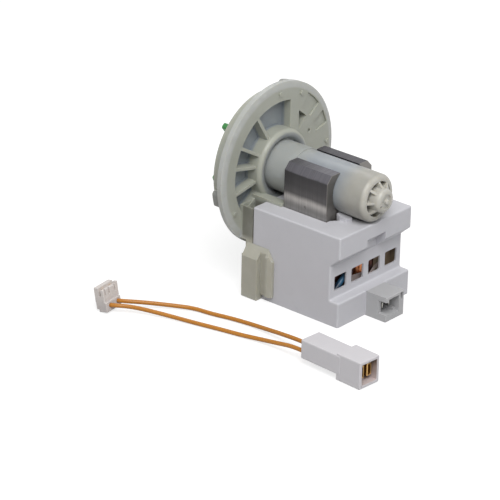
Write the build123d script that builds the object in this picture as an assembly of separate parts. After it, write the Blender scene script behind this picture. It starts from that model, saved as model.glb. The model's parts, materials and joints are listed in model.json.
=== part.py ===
"""Synchronous drain pump of a washing machine, with the short adapter lead that lies before it.

The rotor axis runs along X: the can's nose points to +X and the impeller to -X. Z is up, and
z = 0 is the plane that the motor housing stands on. Lengths are millimetres, angles degrees.
"""
from build123d import *
import os
from math import cos, pi, radians, sin, tan

os.makedirs("parts", exist_ok=True)

# Fits
SEAT = 0.05            # a fixed piece in its seat
RUNNING = 0.03         # a shaft in its bore, on the radius
END_PLAY = 0.2         # axial play of turning pieces
LOOSE = 0.1            # covers and arms beside the housing
OVERRUN = 1.0          # how far a cut runs past the face it opens

# Stator core and its two coils
CORE_LENGTH = 26.6
LEG_WIDTH = 9.2
YOKE_HEIGHT = 9.2
POLE_RISE = 10.45      # pole tops above the rotor axis
POLE_GAP = 0.35        # pole bore outside the can
CHAMFER_WIDTH = 3.3
CHAMFER_DROP = 3.4
DIMPLE_RADIUS = 0.6
DIMPLE_DEPTH = 0.4
DIMPLE_RISE = 3.6      # dimple above the housing's top
BOBBIN_FIT = 0.15
BOBBIN_WALL = 1.0
BOBBIN_REACH = 5.7     # flanges beyond the bobbin's tube
BOBBIN_FLANGE = 1.2
BOBBIN_HEIGHT = 31.6
COIL_SPLIT = 0.9       # between the two bobbins
WINDING_DEPTH = 5.4
WINDING_ROUND = 3.0

# Coil housing and its base cover
WALL = 1.9
SIDE_GAP = 1.75        # bobbin flanges to the side walls
FRONT_GAP = 1.45       # bobbin flanges to the flange-side wall
NOSE_GAP = 3.15        # bobbin flanges to the window wall
TOP_GAP = 0.7
RECESS = 5.5           # window wall behind the ledge's face
LEDGE_HEIGHT = 12.8
BROW_INNER = 30.5
BROW_OUTER = 35.4
HOUSING_ROUND = 0.9
COVER_THICK = 2.0
PAD_HEIGHT = 1.0       # the core stands on pads of the base cover
PAD_WIDTH = 6.0
LEG_CLEAR = 0.3

# Windows, latch notch and snap wedges of the housing
WINDOW_WIDTH = 9.0
WINDOW_HEIGHT = 7.6
WINDOW_SILL = 16.5
WINDOW_PITCH = 12.7
WINDOW_COUNT = 4
WINDOW_ROUND = 0.8
WINDOW_WALL = 1.0      # thinned wall round the windows
WINDOW_MARGIN = 1.2    # thinned field beyond the windows
NOTCH_LOW_Y = -6.4
NOTCH_HIGH_Y = 7.4
NOTCH_HEIGHT = 4.0
TROUGH_GAP = 0.3
WEDGE_RISE = 2.4
WEDGE_LENGTH = 7.8
WEDGE_WIDTH = 6.2
WEDGE_GAP = 0.4        # wedge beside the core's nose-side face
RELIEF = 3.4           # triangular opening beside a pole's foot

# Connector shroud on the housing and its two tabs
SOCKET_OUT = 12.8
SOCKET_LOW_Y = -6.4
SOCKET_HIGH_Y = 7.2
SOCKET_FLOOR = 2.8
SOCKET_ROOF = 1.4
SOCKET_LEFT_WALL = 2.0
SOCKET_RIGHT_WALL = 3.7
SIDE_NOTCH_DEPTH = 4.8
SIDE_NOTCH_LOW = 3.6
SIDE_NOTCH_HIGH = 10.3
KEYWAY_WIDTH = 1.7
KEYWAY_LOW = 8.6
KEYWAY_DEPTH = 8.0
FLOOR_RIB_HEIGHT = 1.3
FLOOR_RIB_WIDTH = 1.4
TAB_PITCH = 5.0
TAB_THICK = 0.8
TAB_HEIGHT = 3.0
TAB_REACH = 8.0        # tab tips beyond the housing's face
TAB_TAIL = 8.0         # tab tails inside the housing
TAB_LEVEL = 6.5
TAB_TIP = 0.3

# Rotor can
TUBE_RADIUS = 12.0
CAN_WALL = 1.0
SLEEVE_STEP = 0.6
SLEEVE_GAP = 0.5       # sleeve's end to the core
CAN_GAP = 0.2          # tube above the housing's top
LIP_RADIUS = 19.0
LIP = 2.0
LIP_ROUND = 0.6
NOSE_WALL = 3.0
NOSE_RING = 9.3        # outer ring beyond the nose wall
NOSE_RING_WALL = 3.2
NOSE_ROUND = 2.6
HUB_BORE = 4.9
HUB_WALL = 1.1
HUB_RISE = 14.2        # hub's end beyond the nose wall
HUB_ROUND = 2.0
HUB_CAP = 2.5
DISH_DEPTH = 0.5       # in the hub's end
DISH_RIM = 0.5         # flat rim between the dish and the rounding
PIP_RADIUS = 1.2
PIP_RISE = 0.9
PIP_ROUND = 0.4
VENT_RADIUS = 0.6
VENT_OFFSET = 4.2
VENT_ANGLE = -157
NOSE_RIB = 1.2
NOSE_RIB_COUNT = 8

# Flange plate: rim, pockets, collar, spigot and lugs
BRACKET_GAP = 0.2      # bracket to the housing's flange-side face
BRACKET_DEPTH = 7.2
POCKET_RADIUS = 32.0
RIM_LAND = 6.0         # flat ring between the pockets and the bevel
BEVEL = 3.15
RIM_EDGE = 2.45
SHOULDER = 1.0
POCKET_DEPTH = 5.6
WEB = 2.0
COLLAR_RADIUS = 18.2
COLLAR_ROUND = 2.4
COLLAR_RISE = 3.6      # crest beyond the flange's back plane
RIB = 1.6
RIB_RISE = 1.0
RIB_ANGLES = (120, 150, 169, 193, 217, 240, 270, 300, 323, 345)
PLATEAU_FROM = -6      # stretch of the ring without deep pockets
PLATEAU_TO = 64
PLATEAU_STEP = 4.5     # corner pocket's edge inside the pockets' radius
BAND_NEAR = 7.8        # upright solid band beside the top pocket
BAND_WIDTH = 6.4
CORNER_FROM = 44       # three-cornered pocket between band and plateau
SHALLOW_DEPTH = 1.0
SHALLOW_STEP = 3.0     # shallow recesses inside the pockets' radius
SHALLOW_EDGE = 0.6     # shallow recesses to the bevel
SHALLOW_STARTS = (17.5, 38.5)
SHALLOW_SPANS = (12, 17.5)
PIT_RADIUS = 1.1
PIT_ANGLE = 25.6
BOSS_RADIUS = 1.2
BOSS_RISE = 0.7
BOSS_ANGLES = (2, 64, 90, 208)
SEALING_WIDTH = 5.95   # face between the spigot and the rim's edge
SPIGOT_WALL = 4.0
SPIGOT_REACH = 7.6
SEAL_LAND = 2.2        # sealing face to the seal groove
SEAL_GROOVE = 2.4
SEAL_DEPTH = 1.7
SEAL_SECTION = 2.3
LUG_GAP = 2.2          # lugs outside the spigot
LUG_THICK = 3.0
LUG_REACH = 4.05
LUG_ROUND = 1.8
LUG_SPAN = 13
LUG_ANGLES = (73, 193, 313)

# Flange plate: bracket, tongues and side clip arms
BRACKET_TOP_GAP = 1.1  # below the housing's top
BRACKET_BOTTOM = 28.0
BRACKET_WALL = 1.8
BRACKET_SIDE = 1.0     # side wall outside each well
BRACKET_WELL = 8.0     # well open on top and towards the housing
TONGUE_NEAR = 13.0
TONGUE_FAR = 18.0
TONGUE_THICK = 1.4
TONGUE_END_GAP = 0.2   # tongue's end to the core
ARM_THICK = 4.2
ARM_TOP = 27.5
ARM_SHOULDER = 21.8
ARM_BOTTOM = 0.3
ARM_FRONT = 2.9        # arm's front edge before the housing's face
ARM_FACE = 9.6
ARM_GROOVE = 3.8       # groove between the thick face and the leaf
ARM_FLOOR = 1.6        # thickness in the groove
ARM_LEAF = 3.6
ARM_RIDGE = 2.6        # thickness of the leaf's upright ridge
ARM_LEAF_BOTTOM = 3.2
ARM_ROOT = 4.2         # root plate before the housing's face
ARM_ROOT_WIDTH = 5.0

# Rotor, bushes and the can's front cover
SHAFT_RADIUS = 2.0
MAGNET_GAP = 0.6       # magnet inside the can
MAGNET_LENGTH = 30.0
CARRIER_RADIUS = 5.0
CARRIER_NOSE = 2.7     # carrier beyond the magnet, nose side
CARRIER_FRONT = 4.3
NECK_RADIUS = 3.4
WASHER_RADIUS = 4.5
WASHER_THICK = 0.8
BUSH_RADIUS = 3.4
NOSE_BUSH = 7.0
FRONT_BUSH = 9.0
HOLDER_OVER = 1.0      # rubber holder beyond its bush
SHAFT_OVER = 1.6       # shaft beyond the nose-side bush
PLUG_THICK = 4.0
SEAL_THICK = 3.0
SHOULDER_THICK = 0.7
SHOULDER_RADIUS = 4.1
COVER_HUB = 6.9
COVER_HUB_REACH = 9.2
CAN_SEAL_SECTION = 1.8
CAN_SEAL_SIDE = 0.1

# Impeller and its lost-motion clutch
IMPELLER_GAP = 3.3     # impeller's back to the can's lip
IMPELLER_DEPTH = 10.5
IMPELLER_RADIUS = 23.3
IMPELLER_HUB = 8.0
IMPELLER_ROUND = 1.2
BLADE = 3.2
BLADE_ROUND = 1.1
BLADE_COUNT = 5
BLADE_START = 57.5
BACKPLATE = 1.5
BACKPLATE_RADIUS = 12.0
CLUTCH_RADIUS = 6.4
CLUTCH_WALL = 2.0      # impeller's front wall before the clutch
CLUTCH_COVER = 1.5
DRIVER_HUB = 3.4
DRIVER_REACH = 6.1
DRIVER_LENGTH = 4.0
CLUTCH_SPAN = 40
DRIVER_ANGLE = 90
STOP_CLEAR = 0.3       # impeller's stop outside the driver's hub

# Tape and thermal fuse on the windings
TAPE_THICK = 0.3
TAPE_WIDTH = 9.5
TAPE_HEIGHT = 22.0
FUSE_RADIUS = 1.0
FUSE_LENGTH = 7.0
FUSE_SLEEVE_RADIUS = 1.4
SLEEVE_LENGTH = 11.0
FUSE_LEAD_RADIUS = 0.3
FUSE_LEAD = 4.5
FUSE_TILT = 38
FUSE_RISE = 1.1        # fuse's middle above the window sill
FUSE_SHIFT = 5.3       # and beside the first window's middle

# Adapter lead: where its connectors stand on the floor, and their sizes
ADAPTER_X = 69.55
ADAPTER_Y = -61.75
ADAPTER_YAW = -3.5
MOUTH_LENGTH = 14.9
MOUTH_HALF = 6.6
MOUTH_HEIGHT = 13.7
MOUTH_WALL = 1.5
MOUTH_BACK = 2.4       # wall behind the mouth
BODY_LENGTH = 22.0
BODY_LOW_Y = -6.8
BODY_HIGH_Y = 5.2
BODY_LOW = 3.0
BODY_HIGH = 12.7
ADAPTER_ROUND = 0.6
ENTRY_UPPER_Y = 2.8
ENTRY_LOWER_Y = -4.0
ENTRY_LEVEL = 5.4
ENTRY_DEPTH = 3.0
BLADE_THICK = 0.8
BLADE_HEIGHT = 2.8
BLADE_BASE_GAP = 0.4   # blades' tails to the wires' ends
CLIP_WIDTH = 3.0       # contact's clip in the mouth
CLIP_HEIGHT = 6.3
CLIP_LENGTH = 8.0
CLIP_SHIFT = 0.6       # clip beside its blade
CLIP_TIP_GAP = 2.5     # clip inside the mouth's rim
CLIP_WALL = 0.5
PLUG_X = -58.86        # middle of the foot's rear edge, on the floor
PLUG_Y = -85.85
PLUG_YAW = 7.5
PLUG_LEAN = 10         # plug tips back on its foot
PLUG_WIDTH = 11.6
PLUG_DEPTH = 6.2
PLUG_HEIGHT = 12.4
PLUG_STEP = 1.4        # foot inside the plug's rear
PLUG_FOOT = 1.2
PLUG_BASE = 5.0
PLUG_SETBACK = 0.8
PLUG_ROUND = 0.4
PLUG_ENTRY_HALF = 3.0
PLUG_ENTRY_SHIFT = 0.4
PLUG_ENTRY_LEVEL = 2.9
PLUG_ENTRY_DEPTH = 2.8
PLUG_RIDGE = 1.1       # rear ridge above the front
PLUG_HUMP = 1.5
PLUG_CHANNEL = 0.9     # depth of the channel between ridge and front
PLUG_SLOT_AT = 1.1     # slot in the side, from the foot's rear
PLUG_SLOT_WIDTH = 1.3
PLUG_SLOT_LOW = 8.0
PLUG_SLOT_DEPTH = 2.2
PLUG_GROOVE = 1.0
PLUG_GROOVE_DEPTH = 1.1
PLUG_GROOVE_LOW = 8.2
PLUG_GROOVES = (-4.4, -1.2, 3.4)
CONTACT_THICK = 0.6
CONTACT_WIDTH = 1.8
CONTACT_HEIGHT = 9.0
CONTACT_LOW = 1.8
CONTACT_GAP = 0.15
WIRE_RADIUS = 1.05
ENTRY_GAP = 0.1        # wire in its entry, on the radius

# The two wires' routes, from the adapter to the plug
UPPER_ROUTE = [
    (50.76, -57.80, 5.40), (40.78, -57.18, 5.40), (28.65, -55.93, 4.30), (15.90, -54.01, 2.30),
    (4.12, -53.42, 1.15), (-7.05, -55.11, 1.05), (-16.82, -57.78, 1.05), (-26.54, -59.15, 1.15),
    (-34.52, -64.63, 1.80), (-41.87, -70.82, 2.70), (-47.43, -75.40, 3.20),
    (-53.65, -81.74, 3.95), (-57.85, -82.29, 3.20),
]
LOWER_ROUTE = [
    (50.34, -64.58, 5.40), (40.36, -63.97, 5.40), (30.16, -63.40, 3.40), (18.90, -63.20, 1.60),
    (8.83, -65.25, 1.10), (-2.86, -67.45, 1.05), (-15.20, -70.40, 1.05), (-26.60, -73.27, 1.40),
    (-35.04, -76.78, 2.30), (-42.00, -79.81, 3.00), (-47.88, -82.61, 3.30),
    (-52.87, -87.68, 3.95), (-57.07, -88.24, 3.20),
]

# Levels and widths that follow from the sizes above
COIL_SIDE = BOBBIN_FIT + BOBBIN_WALL + BOBBIN_REACH
LEG_INNER = COIL_SIDE + COIL_SPLIT / 2
LEG_OUTER = LEG_INNER + LEG_WIDTH
HALF_WIDTH = LEG_OUTER + COIL_SIDE + SIDE_GAP + WALL
YOKE_BOTTOM = COVER_THICK + PAD_HEIGHT
YOKE_TOP = YOKE_BOTTOM + YOKE_HEIGHT
BOBBIN_BOTTOM = YOKE_TOP + BOBBIN_FIT
BOBBIN_TOP = BOBBIN_BOTTOM + BOBBIN_HEIGHT
HOUSING_TOP = BOBBIN_TOP + TOP_GAP + WALL
AXIS_HEIGHT = HOUSING_TOP + CAN_GAP + TUBE_RADIUS
POLE_TOP = AXIS_HEIGHT + POLE_RISE
CAN_SLEEVE_RADIUS = TUBE_RADIUS + SLEEVE_STEP
CAN_BORE = TUBE_RADIUS - CAN_WALL
HUB_RADIUS = HUB_BORE + HUB_WALL
RIM_RADIUS = POCKET_RADIUS + RIM_LAND + BEVEL
BOSS_CIRCLE = POCKET_RADIUS + RIM_LAND * 2 / 3
SPIGOT_RADIUS = RIM_RADIUS - SEALING_WIDTH
LUG_RADIUS = SPIGOT_RADIUS + LUG_GAP + LUG_THICK
PLUG_FRONT = PLUG_DEPTH - PLUG_STEP

# Stations along the axis, first from the housing's nose-side face at 0, then shifted so that
# the origin is below the middle of the pump's length
HOUSING_LENGTH = 2 * WALL + RECESS + NOSE_GAP + 2 * COIL_SIDE + CORE_LENGTH + FRONT_GAP
BACK_PLANE_AT = HOUSING_LENGTH + BRACKET_GAP + BRACKET_DEPTH
LIP_FRONT_AT = BACK_PLANE_AT + POCKET_DEPTH + WEB + LIP
REACH = LIP_FRONT_AT + IMPELLER_GAP + IMPELLER_DEPTH
NOSE_FACE = (REACH - SOCKET_OUT) / 2
FRONT_FACE = NOSE_FACE - HOUSING_LENGTH
WINDOW_FACE = NOSE_FACE - RECESS
CORE_NOSE = WINDOW_FACE - WALL - NOSE_GAP - COIL_SIDE
CORE_FRONT = CORE_NOSE - CORE_LENGTH
WINDING_FACE = CORE_NOSE + BOBBIN_FIT + BOBBIN_WALL + WINDING_DEPTH
BACK_PLANE = NOSE_FACE - BACK_PLANE_AT
POCKET_FLOOR = BACK_PLANE - POCKET_DEPTH
WEB_FRONT = POCKET_FLOOR - WEB
LIP_FRONT = NOSE_FACE - LIP_FRONT_AT
SEALING_FACE = BACK_PLANE - SHOULDER - RIM_EDGE
SPIGOT_END = SEALING_FACE - SPIGOT_REACH
CREST = BACK_PLANE + COLLAR_RISE - COLLAR_ROUND
IMPELLER_BACK = LIP_FRONT - IMPELLER_GAP
IMPELLER_FRONT = IMPELLER_BACK - IMPELLER_DEPTH
MAGNET_NOSE = (CORE_NOSE + CORE_FRONT + MAGNET_LENGTH) / 2
MAGNET_FRONT = MAGNET_NOSE - MAGNET_LENGTH
CARRIER_END = MAGNET_NOSE + CARRIER_NOSE
NOSE_BUSH_FACE = CARRIER_END + WASHER_THICK + 2 * END_PLAY
NOSE_WALL_END = NOSE_BUSH_FACE + NOSE_WALL
NOSE_RING_END = NOSE_WALL_END + NOSE_RING
HUB_END = NOSE_WALL_END + HUB_RISE
COVER_BACK = LIP_FRONT + PLUG_THICK
COVER_HUB_END = COVER_BACK + COVER_HUB_REACH
HOLDER_FRONT = LIP_FRONT + SEAL_THICK + SHOULDER_THICK
FRONT_BUSH_FACE = HOLDER_FRONT + HOLDER_OVER + FRONT_BUSH
CLUTCH_FRONT = IMPELLER_FRONT + CLUTCH_WALL
COVER_FACE = IMPELLER_BACK - CLUTCH_COVER
SHAFT_FRONT = IMPELLER_FRONT + CLUTCH_WALL / 2
SHAFT_NOSE = NOSE_BUSH_FACE + NOSE_BUSH + SHAFT_OVER
FUSE_PLANE = WINDING_FACE + LOOSE + FUSE_SLEEVE_RADIUS

AXIS_PLANE = Plane(origin=(0, 0, AXIS_HEIGHT), x_dir=(0, 1, 0), z_dir=(1, 0, 0))


def span(x0, x1, y0, y1, z0, z1):
    """Box between two corners."""
    middle = Pos((x0 + x1) / 2, (y0 + y1) / 2, (z0 + z1) / 2)
    return middle * Box(abs(x1 - x0), abs(y1 - y0), abs(z1 - z0))


def disc(radius, x0, x1):
    """Cylinder on the rotor axis."""
    return AXIS_PLANE.location * Pos(0, 0, (x0 + x1) / 2) * Cylinder(radius, x1 - x0)


def ring(outer, inner, x0, x1):
    return disc(outer, x0, x1) - disc(inner, x0 - OVERRUN, x1 + OVERRUN)


def axial_torus(major, minor, x):
    return AXIS_PLANE.location * Pos(0, 0, x) * Torus(major, minor)


def peg(radius, circle, angle, x0, x1):
    """Cylinder along X at a radius and angle round the rotor axis."""
    place = Rot(0, 0, angle) * Pos(circle, 0, (x0 + x1) / 2)
    return AXIS_PLANE.location * place * Cylinder(radius, x1 - x0)


def spoke(angle, thick, r0, r1, x0, x1):
    """Radial plate from r0 to r1."""
    place = Rot(0, 0, angle) * Pos((r0 + r1) / 2, 0, (x0 + x1) / 2)
    return AXIS_PLANE.location * place * Box(r1 - r0, thick, x1 - x0)


def wedge(angle_from, angle_to, radius, x0, x1):
    """Slice of a round about the rotor axis, with straight sides."""
    reach = radius / cos(radians(angle_to - angle_from) / 2)
    points = [(0, 0)]
    for angle in (angle_from, angle_to):
        points.append((reach * cos(radians(angle)), reach * sin(radians(angle))))
    face = make_face(Polyline(*points, close=True))
    return AXIS_PLANE.location * Pos(0, 0, x0) * extrude(face, amount=x1 - x0)


def prism_x(points, x0, x1):
    """Outline of (y, z) points drawn out along X."""
    face = make_face(Polyline(*[(x0, y, z) for y, z in points], close=True))
    return extrude(face, amount=x1 - x0, dir=(1, 0, 0))


def prism_y(points, y0, y1):
    """Outline of (x, z) points drawn out along Y."""
    face = make_face(Polyline(*[(x, y0, z) for x, z in points], close=True))
    return extrude(face, amount=y1 - y0, dir=(0, 1, 0))


def prism_z(points, z0, z1):
    """Outline of (x, y) points drawn out along Z."""
    face = make_face(Polyline(*[(x, y, z0) for x, y in points], close=True))
    return extrude(face, amount=z1 - z0, dir=(0, 0, 1))


def sided(side, near, far):
    """The lower and upper y of a stretch from near to far on one side."""
    return sorted((side * near, side * far))


def around_leg(side, reach, z0, z1):
    """Block round one leg of the core, reach beyond it all round."""
    y0, y1 = sided(side, LEG_INNER - reach, LEG_OUTER + reach)
    return span(CORE_FRONT - reach, CORE_NOSE + reach, y0, y1, z0, z1)


def stator_core():
    core = span(CORE_FRONT, CORE_NOSE, -LEG_OUTER, LEG_OUTER, YOKE_BOTTOM, POLE_TOP)
    core -= span(CORE_FRONT, CORE_NOSE, -LEG_INNER, LEG_INNER, YOKE_TOP, POLE_TOP)
    core -= disc(TUBE_RADIUS + POLE_GAP, CORE_FRONT - OVERRUN, CORE_NOSE + OVERRUN)
    for side in (-1, 1):
        edge = side * LEG_OUTER
        corner = [
            (edge, POLE_TOP),
            (side * (LEG_OUTER - CHAMFER_WIDTH), POLE_TOP),
            (edge, POLE_TOP - CHAMFER_DROP),
        ]
        core -= prism_x(corner, CORE_FRONT, CORE_NOSE)
        foot = HOUSING_TOP + DIMPLE_RISE
        place = Pos((CORE_FRONT + CORE_NOSE) / 2, edge, foot) * Rot(90, 0, 0)
        core -= place * Cylinder(DIMPLE_RADIUS, 2 * DIMPLE_DEPTH)
    return core


def bobbin(side):
    tube = BOBBIN_FIT + BOBBIN_WALL
    body = around_leg(side, tube, BOBBIN_BOTTOM, BOBBIN_TOP)
    body += around_leg(side, COIL_SIDE, BOBBIN_BOTTOM, BOBBIN_BOTTOM + BOBBIN_FLANGE)
    body += around_leg(side, COIL_SIDE, BOBBIN_TOP - BOBBIN_FLANGE, BOBBIN_TOP)
    return body - around_leg(side, BOBBIN_FIT, BOBBIN_BOTTOM - OVERRUN, BOBBIN_TOP + OVERRUN)


def winding(side):
    tube = BOBBIN_FIT + BOBBIN_WALL
    z0 = BOBBIN_BOTTOM + BOBBIN_FLANGE + SEAT
    z1 = BOBBIN_TOP - BOBBIN_FLANGE - SEAT
    coil = around_leg(side, tube + WINDING_DEPTH, z0, z1)
    coil = fillet(coil.edges().filter_by(Axis.Z), WINDING_ROUND)
    return coil - around_leg(side, tube + SEAT, z0 - OVERRUN, z1 + OVERRUN)


def winding_tape():
    y1 = LEG_OUTER + BOBBIN_FIT + BOBBIN_WALL + WINDING_DEPTH - WINDING_ROUND / 2
    x0 = WINDING_FACE + SEAT
    z0 = BOBBIN_BOTTOM + BOBBIN_FLANGE + SEAT
    return span(x0, x0 + TAPE_THICK, y1 - TAPE_WIDTH, y1, z0, z0 + TAPE_HEIGHT)


def fuse_place():
    """Frame of the thermal fuse: its axis is local X, tilted in the window's plane."""
    y = -(WINDOW_COUNT - 1) / 2 * WINDOW_PITCH + FUSE_SHIFT
    frame = Plane(
        origin=(FUSE_PLANE, y, WINDOW_SILL + FUSE_RISE),
        x_dir=(0, cos(radians(FUSE_TILT)), sin(radians(FUSE_TILT))),
        z_dir=(1, 0, 0),
    )
    return frame.location


def fuse_rod(radius, from_x, to_x):
    place = fuse_place() * Pos((from_x + to_x) / 2, 0, 0) * Rot(0, 90, 0)
    return place * Cylinder(radius, to_x - from_x)


def thermal_fuse():
    return fuse_rod(FUSE_RADIUS, -FUSE_LENGTH / 2, FUSE_LENGTH / 2)


def fuse_sleeve():
    half = SLEEVE_LENGTH / 2
    inner = fuse_rod(FUSE_RADIUS + SEAT, -half - OVERRUN, half + OVERRUN)
    return fuse_rod(FUSE_SLEEVE_RADIUS, -half, half) - inner


def fuse_leads():
    half = FUSE_LENGTH / 2
    return [
        fuse_rod(FUSE_LEAD_RADIUS, -half - FUSE_LEAD, -half),
        fuse_rod(FUSE_LEAD_RADIUS, half, half + FUSE_LEAD),
    ]


def housing_profile():
    return [
        (FRONT_FACE, 0),
        (NOSE_FACE, 0),
        (NOSE_FACE, LEDGE_HEIGHT),
        (WINDOW_FACE, LEDGE_HEIGHT),
        (WINDOW_FACE, BROW_INNER),
        (NOSE_FACE, BROW_OUTER),
        (NOSE_FACE, HOUSING_TOP),
        (FRONT_FACE, HOUSING_TOP),
    ]


def grown_prism_y(points, amount, y0, y1):
    """Outline grown or, with a negative amount, shrunk by a wall, drawn out along Y."""
    flat = make_face(Polyline(*points, close=True))
    grown = offset(flat, amount=amount, kind=Kind.INTERSECTION)
    upright = Plane(origin=(0, y1, 0), x_dir=(1, 0, 0), z_dir=(0, -1, 0))
    return extrude(upright.location * grown, amount=y1 - y0)


def housing_block():
    block = prism_y(housing_profile(), -HALF_WIDTH, HALF_WIDTH)
    kept = block.edges().filter_by(lambda edge: edge.center().Z > OVERRUN)
    return fillet(kept, HOUSING_ROUND)


def latch_notch(shell, block):
    """Sloped notch in the brow, with a hood behind it that keeps the wall closed."""
    points = [
        (NOSE_FACE + RECESS, 2 * BROW_OUTER - BROW_INNER),
        (WINDOW_FACE, BROW_INNER),
        (WINDOW_FACE, BROW_INNER + NOTCH_HEIGHT),
        (NOSE_FACE + RECESS, 2 * BROW_OUTER - BROW_INNER + NOTCH_HEIGHT),
    ]
    hood = grown_prism_y(points, WALL, NOTCH_LOW_Y - WALL, NOTCH_HIGH_Y + WALL) & block
    return shell + hood - prism_y(points, NOTCH_LOW_Y, NOTCH_HIGH_Y)


def socket_shroud():
    """Open box in front of the ledge for the machine's plug."""
    shroud = span(
        NOSE_FACE - WALL, NOSE_FACE + SOCKET_OUT, SOCKET_LOW_Y, SOCKET_HIGH_Y, 0, LEDGE_HEIGHT
    )
    outer = shroud.faces().sort_by(Axis.X)[-1].edges()
    shroud = fillet(outer, HOUSING_ROUND / 2)
    low = SOCKET_LOW_Y + SOCKET_LEFT_WALL
    high = SOCKET_HIGH_Y - SOCKET_RIGHT_WALL
    mouth = NOSE_FACE + SOCKET_OUT
    shroud -= span(NOSE_FACE, mouth + OVERRUN, low, high, SOCKET_FLOOR, LEDGE_HEIGHT - SOCKET_ROOF)
    shroud -= span(
        mouth - SIDE_NOTCH_DEPTH, mouth + OVERRUN, SOCKET_LOW_Y - OVERRUN, low,
        SIDE_NOTCH_LOW, SIDE_NOTCH_HIGH,
    )
    key = (high + SOCKET_HIGH_Y) / 2
    shroud -= span(
        mouth - KEYWAY_DEPTH, mouth + OVERRUN, key - KEYWAY_WIDTH / 2, key + KEYWAY_WIDTH / 2,
        KEYWAY_LOW, LEDGE_HEIGHT - SOCKET_ROOF / 2,
    )
    shroud += span(
        NOSE_FACE, mouth - SIDE_NOTCH_DEPTH / 2, high - FLOOR_RIB_WIDTH, high,
        SOCKET_FLOOR, SOCKET_FLOOR + FLOOR_RIB_HEIGHT,
    )
    return shroud


def tab_places():
    middle = (SOCKET_LOW_Y + SOCKET_LEFT_WALL + SOCKET_HIGH_Y - SOCKET_RIGHT_WALL) / 2
    return [middle - TAB_PITCH / 2, middle + TAB_PITCH / 2]


def pump_tab(y, grow):
    return span(
        NOSE_FACE - TAB_TAIL, NOSE_FACE + TAB_REACH,
        y - TAB_THICK / 2 - grow, y + TAB_THICK / 2 + grow,
        TAB_LEVEL - TAB_HEIGHT / 2 - grow, TAB_LEVEL + TAB_HEIGHT / 2 + grow,
    )


def pump_tabs():
    tabs = []
    for y in tab_places():
        tab = pump_tab(y, 0)
        tip = tab.faces().sort_by(Axis.X)[-1].edges()
        tabs.append(chamfer(tip, TAB_TIP))
    return tabs


def snap_wedge(side):
    """Wedge on the housing's top that holds a leg of the core."""
    x0 = CORE_NOSE + WEDGE_GAP
    x1 = x0 + WEDGE_LENGTH
    near = LEG_INNER - WEDGE_WIDTH / 2
    far = LEG_INNER + WEDGE_WIDTH / 2
    plan = [
        (x0, side * near),
        (x0, side * (far - WEDGE_WIDTH / 6)),
        (x0 + WEDGE_LENGTH / 3, side * far),
        (x1 - WEDGE_LENGTH / 5, side * far),
        (x1, side * LEG_INNER),
        (x1 - WEDGE_LENGTH / 3, side * near),
    ]
    top = [
        (x0, HOUSING_TOP - WALL / 2),
        (x1, HOUSING_TOP - WALL / 2),
        (x1, HOUSING_TOP + WEDGE_RISE * 2 / 3),
        (x0, HOUSING_TOP + WEDGE_RISE),
    ]
    slab = prism_z(plan, HOUSING_TOP - WALL / 2, HOUSING_TOP + WEDGE_RISE)
    y0, y1 = sided(side, near, far)
    return slab & prism_y(top, y0, y1)


def relief(side):
    """Triangular opening beside a pole's foot, at the wedge."""
    plan = [
        (CORE_NOSE, side * (LEG_OUTER - WALL)),
        (CORE_NOSE, side * LEG_INNER),
        (CORE_NOSE + RELIEF, side * LEG_INNER),
        (CORE_NOSE + RELIEF, side * (LEG_INNER + RELIEF)),
    ]
    return prism_z(plan, HOUSING_TOP - WALL - OVERRUN, HOUSING_TOP + OVERRUN)


def window(number):
    """Rounded opening in the window wall."""
    y = (number - (WINDOW_COUNT - 1) / 2) * WINDOW_PITCH
    opening = span(
        WINDOW_FACE - WALL - OVERRUN, WINDOW_FACE + OVERRUN,
        y - WINDOW_WIDTH / 2, y + WINDOW_WIDTH / 2,
        WINDOW_SILL, WINDOW_SILL + WINDOW_HEIGHT,
    )
    return fillet(opening.edges().filter_by(Axis.X), WINDOW_ROUND)


def window_field():
    """Room behind the windows that thins their wall."""
    half = ((WINDOW_COUNT - 1) * WINDOW_PITCH + WINDOW_WIDTH) / 2 + WINDOW_MARGIN
    return span(
        WINDOW_FACE - WALL - OVERRUN, WINDOW_FACE - WINDOW_WALL, -half, half,
        WINDOW_SILL - WINDOW_MARGIN, WINDOW_SILL + WINDOW_HEIGHT + WINDOW_MARGIN,
    )


def coil_housing():
    block = housing_block()
    inside = HALF_WIDTH - WALL
    shell = block - grown_prism_y(housing_profile(), -WALL, -inside, inside)
    shell -= span(
        FRONT_FACE + WALL, NOSE_FACE - WALL, -inside, inside, -OVERRUN, WALL + OVERRUN
    )
    shell = latch_notch(shell, block) - window_field()
    for number in range(WINDOW_COUNT):
        shell -= window(number)
    shell -= disc(CAN_SLEEVE_RADIUS + TROUGH_GAP, FRONT_FACE - OVERRUN, NOSE_FACE + OVERRUN)
    for side in (-1, 1):
        shell -= relief(side)
        shell += snap_wedge(side)
        z1 = HOUSING_TOP + OVERRUN
        shell -= around_leg(side, LEG_CLEAR, HOUSING_TOP - WALL - OVERRUN, z1)
    shell -= disc(TUBE_RADIUS + TROUGH_GAP, CORE_NOSE, NOSE_FACE + OVERRUN)
    shell += socket_shroud()
    for y in tab_places():
        shell -= pump_tab(y, SEAT)
    return shell


def base_cover():
    x0 = FRONT_FACE + WALL + LOOSE
    x1 = NOSE_FACE - WALL - LOOSE
    half = HALF_WIDTH - WALL - LOOSE
    cover = span(x0, x1, -half, half, 0, COVER_THICK)
    for x in (CORE_FRONT, CORE_NOSE - PAD_WIDTH):
        for side in (-1, 1):
            y0, y1 = sided(side, LEG_OUTER - PAD_WIDTH, LEG_OUTER)
            cover += span(x, x + PAD_WIDTH, y0, y1, COVER_THICK, YOKE_BOTTOM)
    return cover


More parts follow.
